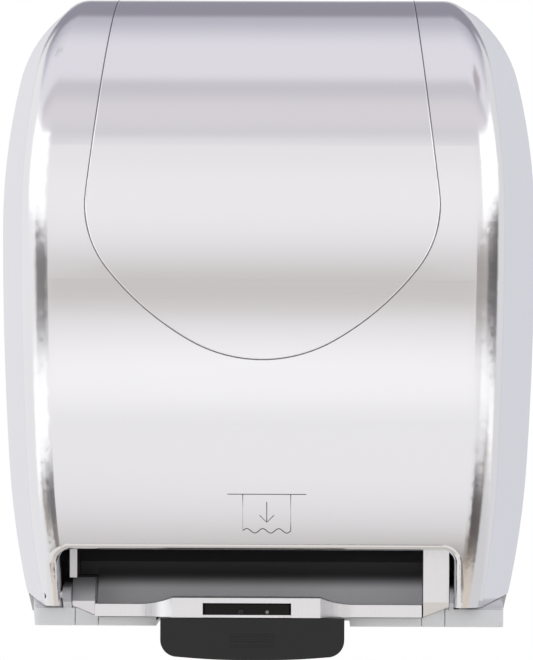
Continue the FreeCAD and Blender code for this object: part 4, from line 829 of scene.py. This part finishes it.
def wire(name: str, routes: list[list[Vector]], radius: float) -> bpy.types.Mesh:
    """Return round wires along routes as one mesh.

    Args:
        name: the mesh's name.
        routes: the points of each wire.
        radius: the wires' radius.

    Returns:
        The mesh.
    """
    curve = bpy.data.curves.new(name + "_curve", "CURVE")
    curve.dimensions = "3D"
    curve.bevel_depth = radius
    curve.bevel_resolution = 2
    curve.use_fill_caps = True
    for route in routes:
        spline = curve.splines.new("POLY")
        spline.points.add(len(route) - 1)
        for point, spot in zip(spline.points, route):
            point.co = (*spot, 1.0)
    holder = bpy.data.objects.new(name + "_curve", curve)
    mesh = bpy.data.meshes.new_from_object(holder)
    bpy.data.objects.remove(holder)
    bpy.data.curves.remove(curve)
    mesh.shade_smooth()
    return mesh


def round_edges(
    shape: bmesh.types.BMesh, edges: list[bmesh.types.BMEdge], radius: float, steps: int
) -> None:
    """Round some edges of a bmesh.

    Args:
        shape: the bmesh.
        edges: the edges.
        radius: the radius they get.
        steps: how many steps each edge is rounded in.
    """
    bmesh.ops.bevel(
        shape, geom=edges, offset=radius, offset_type="OFFSET", segments=steps, profile=0.5,
        affect="EDGES", material=-1, clamp_overlap=True,
    )


def rounded_bar(shape: bmesh.types.BMesh, low: Vector, high: Vector, radius: float) -> None:
    """Add a bar with rounded edges to a bmesh.

    Args:
        shape: the bmesh.
        low: the bar's lowest corner.
        high: the bar's highest corner.
        radius: the radius of its edges.
    """
    verts = bmesh.ops.create_cube(shape, size=1.0)["verts"]
    bmesh.ops.scale(shape, vec=high - low, verts=verts)
    bmesh.ops.translate(shape, vec=(low + high) / 2, verts=verts)
    edges = list({edge for vert in verts for edge in vert.link_edges})
    round_edges(shape, edges, radius, BAR_STEPS)


@dataclass
class CoverTrim:
    """The cover's seam, with a dark wire that paints the shadow in its gap, and its printed sign, laid
    on the cover's barrel shape.
    """

    depth: float = 231 * MM
    crown_height: float = 30 * MM
    face_bow: float = 450 * MM
    lower_bow: float = 700 * MM
    shoulder_bow: float = 110 * MM
    top: float = 199 * MM
    rear: float = -42 * MM

    panel_bottom: float = -16.9 * MM
    nose_bow: float = 85 * MM
    cheek_bow: float = 168 * MM
    corner_bow: float = 60 * MM
    nose_turn: float = 30.0
    cheek_turn: float = 52.0
    rail_turn: float = 97.0
    steps: int = 24

    shadow_wire_radius: float = 0.33 * MM
    shadow_wire_sink: float = 0.16 * MM
    edge_radius: float = 0.30 * MM
    edge_place: float = -0.62 * MM
    edge_sink: float = 0.12 * MM

    sign_across: float = 3.0 * MM
    sign_height: float = -107.5 * MM
    stroke_radius: float = 0.38 * MM
    stroke_sink: float = 0.27 * MM
    slot_half: float = 23.0 * MM
    slot_rise: float = 12.0 * MM
    sheet_half: float = 14.0 * MM
    sheet_drop: float = 9.5 * MM
    wave: float = 1.3 * MM
    waves: int = 3
    wave_steps: int = 48
    arrow_top: float = 7.5 * MM
    arrow_tip: float = -4.5 * MM
    arrow_wing: float = 4.2 * MM

    def slope_at(self, height: float) -> float:
        """Return how far the skin has turned up at a height, in radians."""
        face_angle = math.asin((self.top - self.shoulder_bow - self.crown_height)
                               / (self.face_bow - self.shoulder_bow))
        rise = height - self.crown_height
        if rise < 0:
            return math.asin(rise / self.lower_bow)
        if rise < self.face_bow * math.sin(face_angle):
            return math.asin(rise / self.face_bow)
        return math.asin(min(1.0, (height - self.top + self.shoulder_bow) / self.shoulder_bow))

    def on_skin(self, across: float, height: float, sink: float) -> Vector:
        """Return a point on the cover's outer skin.

        Args:
            across: the point's place across.
            height: its height.
            sink: how far it lies below the skin.

        Returns:
            The point.
        """
        slope = self.slope_at(height)
        face_centre = self.face_bow - self.depth
        reach = self.face_bow - self.shoulder_bow
        rise = self.top - self.shoulder_bow - self.crown_height
        if height < self.crown_height:
            depth = self.lower_bow - self.depth - (self.lower_bow - sink) * math.cos(slope)
        elif height < self.crown_height + self.face_bow * rise / reach:
            depth = face_centre - (self.face_bow - sink) * math.cos(slope)
        else:
            shoulder = face_centre - math.sqrt(reach ** 2 - rise ** 2)
            depth = shoulder - (self.shoulder_bow - sink) * math.cos(slope)
        return Vector((across, depth, height - sink * math.sin(slope)))

    def seam(self, grow: float, sink: float) -> list[Vector]:
        """Return the seam's route from one rear end over the crown and round to the other.

        Args:
            grow: how far outside the seam's middle the route runs.
            sink: how far it lies below the skin.

        Returns:
            The route's points.
        """
        bows = (self.nose_bow, self.cheek_bow, self.corner_bow)
        turns = (0.0, self.nose_turn, self.cheek_turn, self.rail_turn)
        across, height = 0.0, self.panel_bottom + self.nose_bow
        half = []
        for index, bow in enumerate(bows):
            if index:
                back = math.radians(turns[index])
                across += (bows[index - 1] - bow) * math.sin(back)
                height -= (bows[index - 1] - bow) * math.cos(back)
            for step in range(self.steps + 1):
                share = step / self.steps
                turn = math.radians(turns[index] + share * (turns[index + 1] - turns[index]))
                reach = bow + grow
                half.append((across + reach * math.sin(turn), height - reach * math.cos(turn)))
        lean = 1 / math.tan(math.radians(self.rail_turn))
        start_across, start_height = half[-1]
        first = self.slope_at(start_height)
        for step in range(1, 2 * self.steps + 1):
            slope = first + (math.pi / 2 - first) * step / (2 * self.steps)
            risen = self.top - self.shoulder_bow * (1 - math.sin(slope))
            if risen > start_height:
                half.append((start_across + (risen - start_height) * lean, risen))
        right = [self.on_skin(x, z, sink) for x, z in half]
        right.append(Vector((half[-1][0], self.rear, self.top - sink)))
        left = [Vector((-spot.x, spot.y, spot.z)) for spot in reversed(right)]
        return left[:-1] + right

    def sign(self) -> list[list[Vector]]:
        """Return the strokes of the sign: a slot, a sheet with a wavy end and an arrow on it."""
        shares = [step / self.wave_steps for step in range(self.wave_steps + 1)]
        waves = [
            (-self.sheet_half + 2 * self.sheet_half * share,
             -self.sheet_drop + self.wave * math.sin(2 * math.pi * self.waves * share))
            for share in shares
        ]
        drawn = [
            [(-self.slot_half, self.slot_rise), (self.slot_half, self.slot_rise)],
            [(-self.sheet_half, self.slot_rise), *waves, (self.sheet_half, self.slot_rise)],
            [(0.0, self.arrow_top), (0.0, self.arrow_tip)],
            [(-self.arrow_wing, self.arrow_tip + self.arrow_wing), (0.0, self.arrow_tip),
             (self.arrow_wing, self.arrow_tip + self.arrow_wing)],
        ]
        return [
            [
                self.on_skin(self.sign_across + x, self.sign_height + z, self.stroke_sink)
                for x, z in stroke
            ]
            for stroke in drawn
        ]

    def build(self) -> None:
        """Make the dark wire that paints the shadow in the seam, the panel's rolled edge and the sign.
        """
        # Painted shadow: a dark wire sunk in the seam stands for the shade in the gap between the cover
        # and its panel.
        shadow_wire = wire("cover_seam_shadow_wire", [self.seam(0.0, self.shadow_wire_sink)], self.shadow_wire_radius)
        finished("cover_seam_shadow_wire", shadow_wire, SEAM_SHADOW, "cover")
        edge = wire("panel_rolled_edge", [self.seam(self.edge_place, self.edge_sink)], self.edge_radius)
        finished("panel_rolled_edge", edge, ROLLED, "cover")
        sign = wire("towel_sign", self.sign(), self.stroke_radius)
        finished("towel_sign", sign, INK, "cover")


@dataclass
class LeverTrim:
    """The grip ribs moulded on the face of the push lever."""

    count: int = 3
    length: float = 27 * MM
    width: float = 1.3 * MM
    pitch: float = 3.1 * MM
    proud: float = 0.45 * MM
    root: float = 0.6 * MM
    edge: float = 0.36 * MM
    middle_height: float = -181.8 * MM

    def build(self) -> None:
        """Make the ribs in the middle of the lever's face."""
        low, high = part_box("push_lever")
        middle, face = (low[0] + high[0]) / 2, low[1]
        shape = bmesh.new()
        for index in range(self.count):
            height = self.middle_height + (index - (self.count - 1) / 2) * self.pitch
            rounded_bar(
                shape,
                Vector((middle - self.length / 2, face - self.proud, height - self.width / 2)),
                Vector((middle + self.length / 2, face + self.root, height + self.width / 2)),
                self.edge,
            )
        finished("lever_grip_ribs", from_bmesh("lever_grip_ribs", shape), LEVER, "lever")


@dataclass
class SensorTrim:
    """The sensor's domed lens, and the black frame and the shelf round its window."""

    dome_bulge: float = 1.5 * MM
    bezel_top: float = 0.8 * MM
    bezel_side: float = 1.3 * MM
    bezel_proud: float = 0.25 * MM
    bezel_edge: float = 0.1 * MM
    shelf_rise: float = 1.6 * MM
    shelf_proud: float = 0.4 * MM
    shelf_side: float = 0.4 * MM
    shelf_edge: float = 0.2 * MM

    def dome(self) -> bpy.types.Mesh:
        """Return the lens as a flattened half ball on the window."""
        low, high = (Vector(corner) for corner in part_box("sensor_lens"))
        middle = (low + high) / 2
        radius = (high.x - low.x) / 2
        shape = bmesh.new()
        bmesh.ops.create_uvsphere(shape, u_segments=32, v_segments=16, radius=radius)
        bmesh.ops.rotate(
            shape, cent=(0, 0, 0), matrix=Matrix.Rotation(math.pi / 2, 3, "X"), verts=shape.verts
        )
        bmesh.ops.bisect_plane(
            shape, geom=shape.verts[:] + shape.edges[:] + shape.faces[:], plane_co=(0, 0, 0),
            plane_no=(0, 1, 0), clear_outer=True,
        )
        rim = [edge for edge in shape.edges if edge.is_boundary]
        bmesh.ops.holes_fill(shape, edges=rim)
        bmesh.ops.scale(shape, vec=(1, self.dome_bulge / radius, 1), verts=shape.verts)
        bmesh.ops.translate(shape, vec=(middle.x, high.y, middle.z), verts=shape.verts)
        return from_bmesh("sensor_dome", shape)

    def shelf(self) -> bpy.types.Mesh:
        """Return the shelf that closes the recess below the window."""
        low, high = (Vector(corner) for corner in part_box("sensor_window"))
        lip_low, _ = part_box("front_lip")
        shape = bmesh.new()
        rounded_bar(
            shape,
            Vector((low.x - self.shelf_side, lip_low[1] - self.shelf_proud, lip_low[2])),
            Vector((high.x + self.shelf_side, low.y, lip_low[2] + self.shelf_rise)),
            self.shelf_edge,
        )
        return from_bmesh("sensor_shelf", shape)

    def bezel(self) -> bpy.types.Mesh:
        """Return the black frame over and beside the window."""
        low, high = (Vector(corner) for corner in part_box("sensor_window"))
        shape = bmesh.new()
        for left, right, foot in (
            (low.x, high.x, high.z - self.bezel_top),
            (low.x, low.x + self.bezel_side, low.z),
            (high.x - self.bezel_side, high.x, low.z),
        ):
            rounded_bar(
                shape,
                Vector((left, low.y - self.bezel_proud, foot)),
                Vector((right, low.y + self.bezel_proud, high.z)),
                self.bezel_edge,
            )
        return from_bmesh("sensor_bezel", shape)

    def build(self) -> None:
        """Make the lens, the frame and the shelf."""
        lens = finished("sensor_dome", self.dome(), LENS, "root")
        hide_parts("sensor_lens")
        finished("sensor_bezel", self.bezel(), BEZEL, "root")
        finished("sensor_shelf", self.shelf(), BRIGHT, "root")


@dataclass
class TrayShelves:
    """The two shelves that close the tray's ends under the cover."""

    thick: float = 0.9 * MM
    inset: float = 0.3 * MM
    front: float = -188.5 * MM
    rear: float = -31.0 * MM
    inner_left: float = -118.0 * MM
    inner_right: float = 116.0 * MM
    nose_depth: float = 0.1 * MM
    nose_reach: float = 3.0 * MM
    edge: float = 0.25 * MM
    edge_steps: int = 2

    def build(self) -> None:
        """Lay one shelf on each end of the tray, following its flare."""
        low, high = (Vector(corner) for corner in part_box("base_tray"))
        vertices = [vertex.co for vertex in bpy.data.objects["base_tray"].data.vertices]
        nose = [spot.x for spot in vertices if spot.y < low.y + self.nose_depth]
        shape = bmesh.new()
        for inner, near, far in (
            (self.inner_left, min(nose) - self.nose_reach, low.x),
            (self.inner_right, max(nose) + self.nose_reach, high.x),
        ):
            inwards = self.inset if far < 0 else -self.inset
            plan = [
                (inner, self.front),
                (near + inwards, self.front),
                (far + inwards, self.rear),
                (inner, self.rear),
            ]
            corners = [shape.verts.new((x, y, high.z)) for x, y in plan]
            slab = bmesh.ops.extrude_face_region(shape, geom=[shape.faces.new(corners)])["geom"]
            lifted = [item for item in slab if isinstance(item, bmesh.types.BMVert)]
            bmesh.ops.translate(shape, vec=(0, 0, self.thick), verts=lifted)
        round_edges(shape, shape.edges[:], self.edge, self.edge_steps)
        finished("tray_shelves", from_bmesh("tray_shelves", shape), SHELF, "root")


@dataclass
class ModuleScrews:
    """The pan heads, with a cross recess, of the screws that hold the towel module."""

    radius: float = 3.0 * MM
    rim: float = 0.7 * MM
    rim_steps: int = 4
    cross_long: float = 3.4 * MM
    cross_wide: float = 0.9 * MM
    cross_deep: float = 1.0 * MM
    segments: int = 32

    def head(self, height: float) -> bpy.types.Mesh:
        """Return one head that stands on the origin, with its face up."""
        shape = bmesh.new()
        bmesh.ops.create_cone(
            shape, cap_ends=True, segments=self.segments, radius1=self.radius, radius2=self.radius,
            depth=height,
        )
        bmesh.ops.translate(shape, vec=(0, 0, height / 2), verts=shape.verts)
        rim = [edge for edge in shape.edges if all(vert.co.z > height / 2 for vert in edge.verts)]
        round_edges(shape, rim, self.rim, self.rim_steps)
        body = bpy.data.objects.new("screw_blank", from_bmesh("screw_blank", shape))
        cross = bmesh.new()
        for long, wide in ((self.cross_long, self.cross_wide), (self.cross_wide, self.cross_long)):
            verts = bmesh.ops.create_cube(cross, size=1.0)["verts"]
            bmesh.ops.scale(cross, vec=(long, wide, 2 * self.cross_deep), verts=verts)
            bmesh.ops.translate(cross, vec=(0, 0, height), verts=verts)
        cutter = bpy.data.objects.new("screw_cross", bpy.data.meshes.new("screw_cross"))
        cross.to_mesh(cutter.data)
        cross.free()
        for item in (body, cutter):
            bpy.context.scene.collection.objects.link(item)
        carve = body.modifiers.new("cross", "BOOLEAN")
        carve.operation = "DIFFERENCE"
        carve.solver = "EXACT"
        carve.use_self = True
        carve.object = cutter
        bpy.context.view_layer.update()
        carved = body.evaluated_get(bpy.context.evaluated_depsgraph_get())
        mesh = bpy.data.meshes.new_from_object(carved)
        for item in (body, cutter):
            bpy.data.objects.remove(item)
        return mesh

    def build(self) -> None:
        """Set one head at each corner of the module's face."""
        low, high = (Vector(corner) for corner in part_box("module_screws"))
        head = self.head(high.y - low.y)
        head.transform(Matrix.Rotation(math.pi / 2, 4, "X"))
        shape = bmesh.new()
        for across in (low.x + self.radius, high.x - self.radius):
            for up in (low.z + self.radius, high.z - self.radius):
                copy = head.copy()
                copy.transform(Matrix.Translation((across, high.y, up)))
                shape.from_mesh(copy)
                bpy.data.meshes.remove(copy)
        heads = from_bmesh("module_screw_heads", shape)
        screws = finished("module_screw_heads", heads, STEEL, "root")
        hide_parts("module_screws")


def dress(nodes: dict[str, bpy.types.Object]) -> None:
    """Give every node its finish.

    Args:
        nodes: the frame's nodes by name.
    """
    for finish, names in NODE_FINISHES.items():
        material = finish.material()
        for name in names:
            slots = nodes[name].data.materials
            slots.clear()
            slots.append(material)
        log.info("%s: %s", finish.name, ", ".join(names))
    left_over = set(nodes) - {name for names in NODE_FINISHES.values() for name in names}
    if left_over:
        log.warning("no finish for %s", sorted(left_over))


def main() -> None:
    """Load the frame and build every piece."""
    logging.basicConfig(level=logging.INFO, format="%(name)s: %(message)s")
    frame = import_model()
    Studio().set_up()
    dress(frame["nodes"])
    for piece in (CoverTrim(), LeverTrim(), SensorTrim(), TrayShelves(), ModuleScrews()):
        piece.build()


if __name__ == "__main__":
    main()
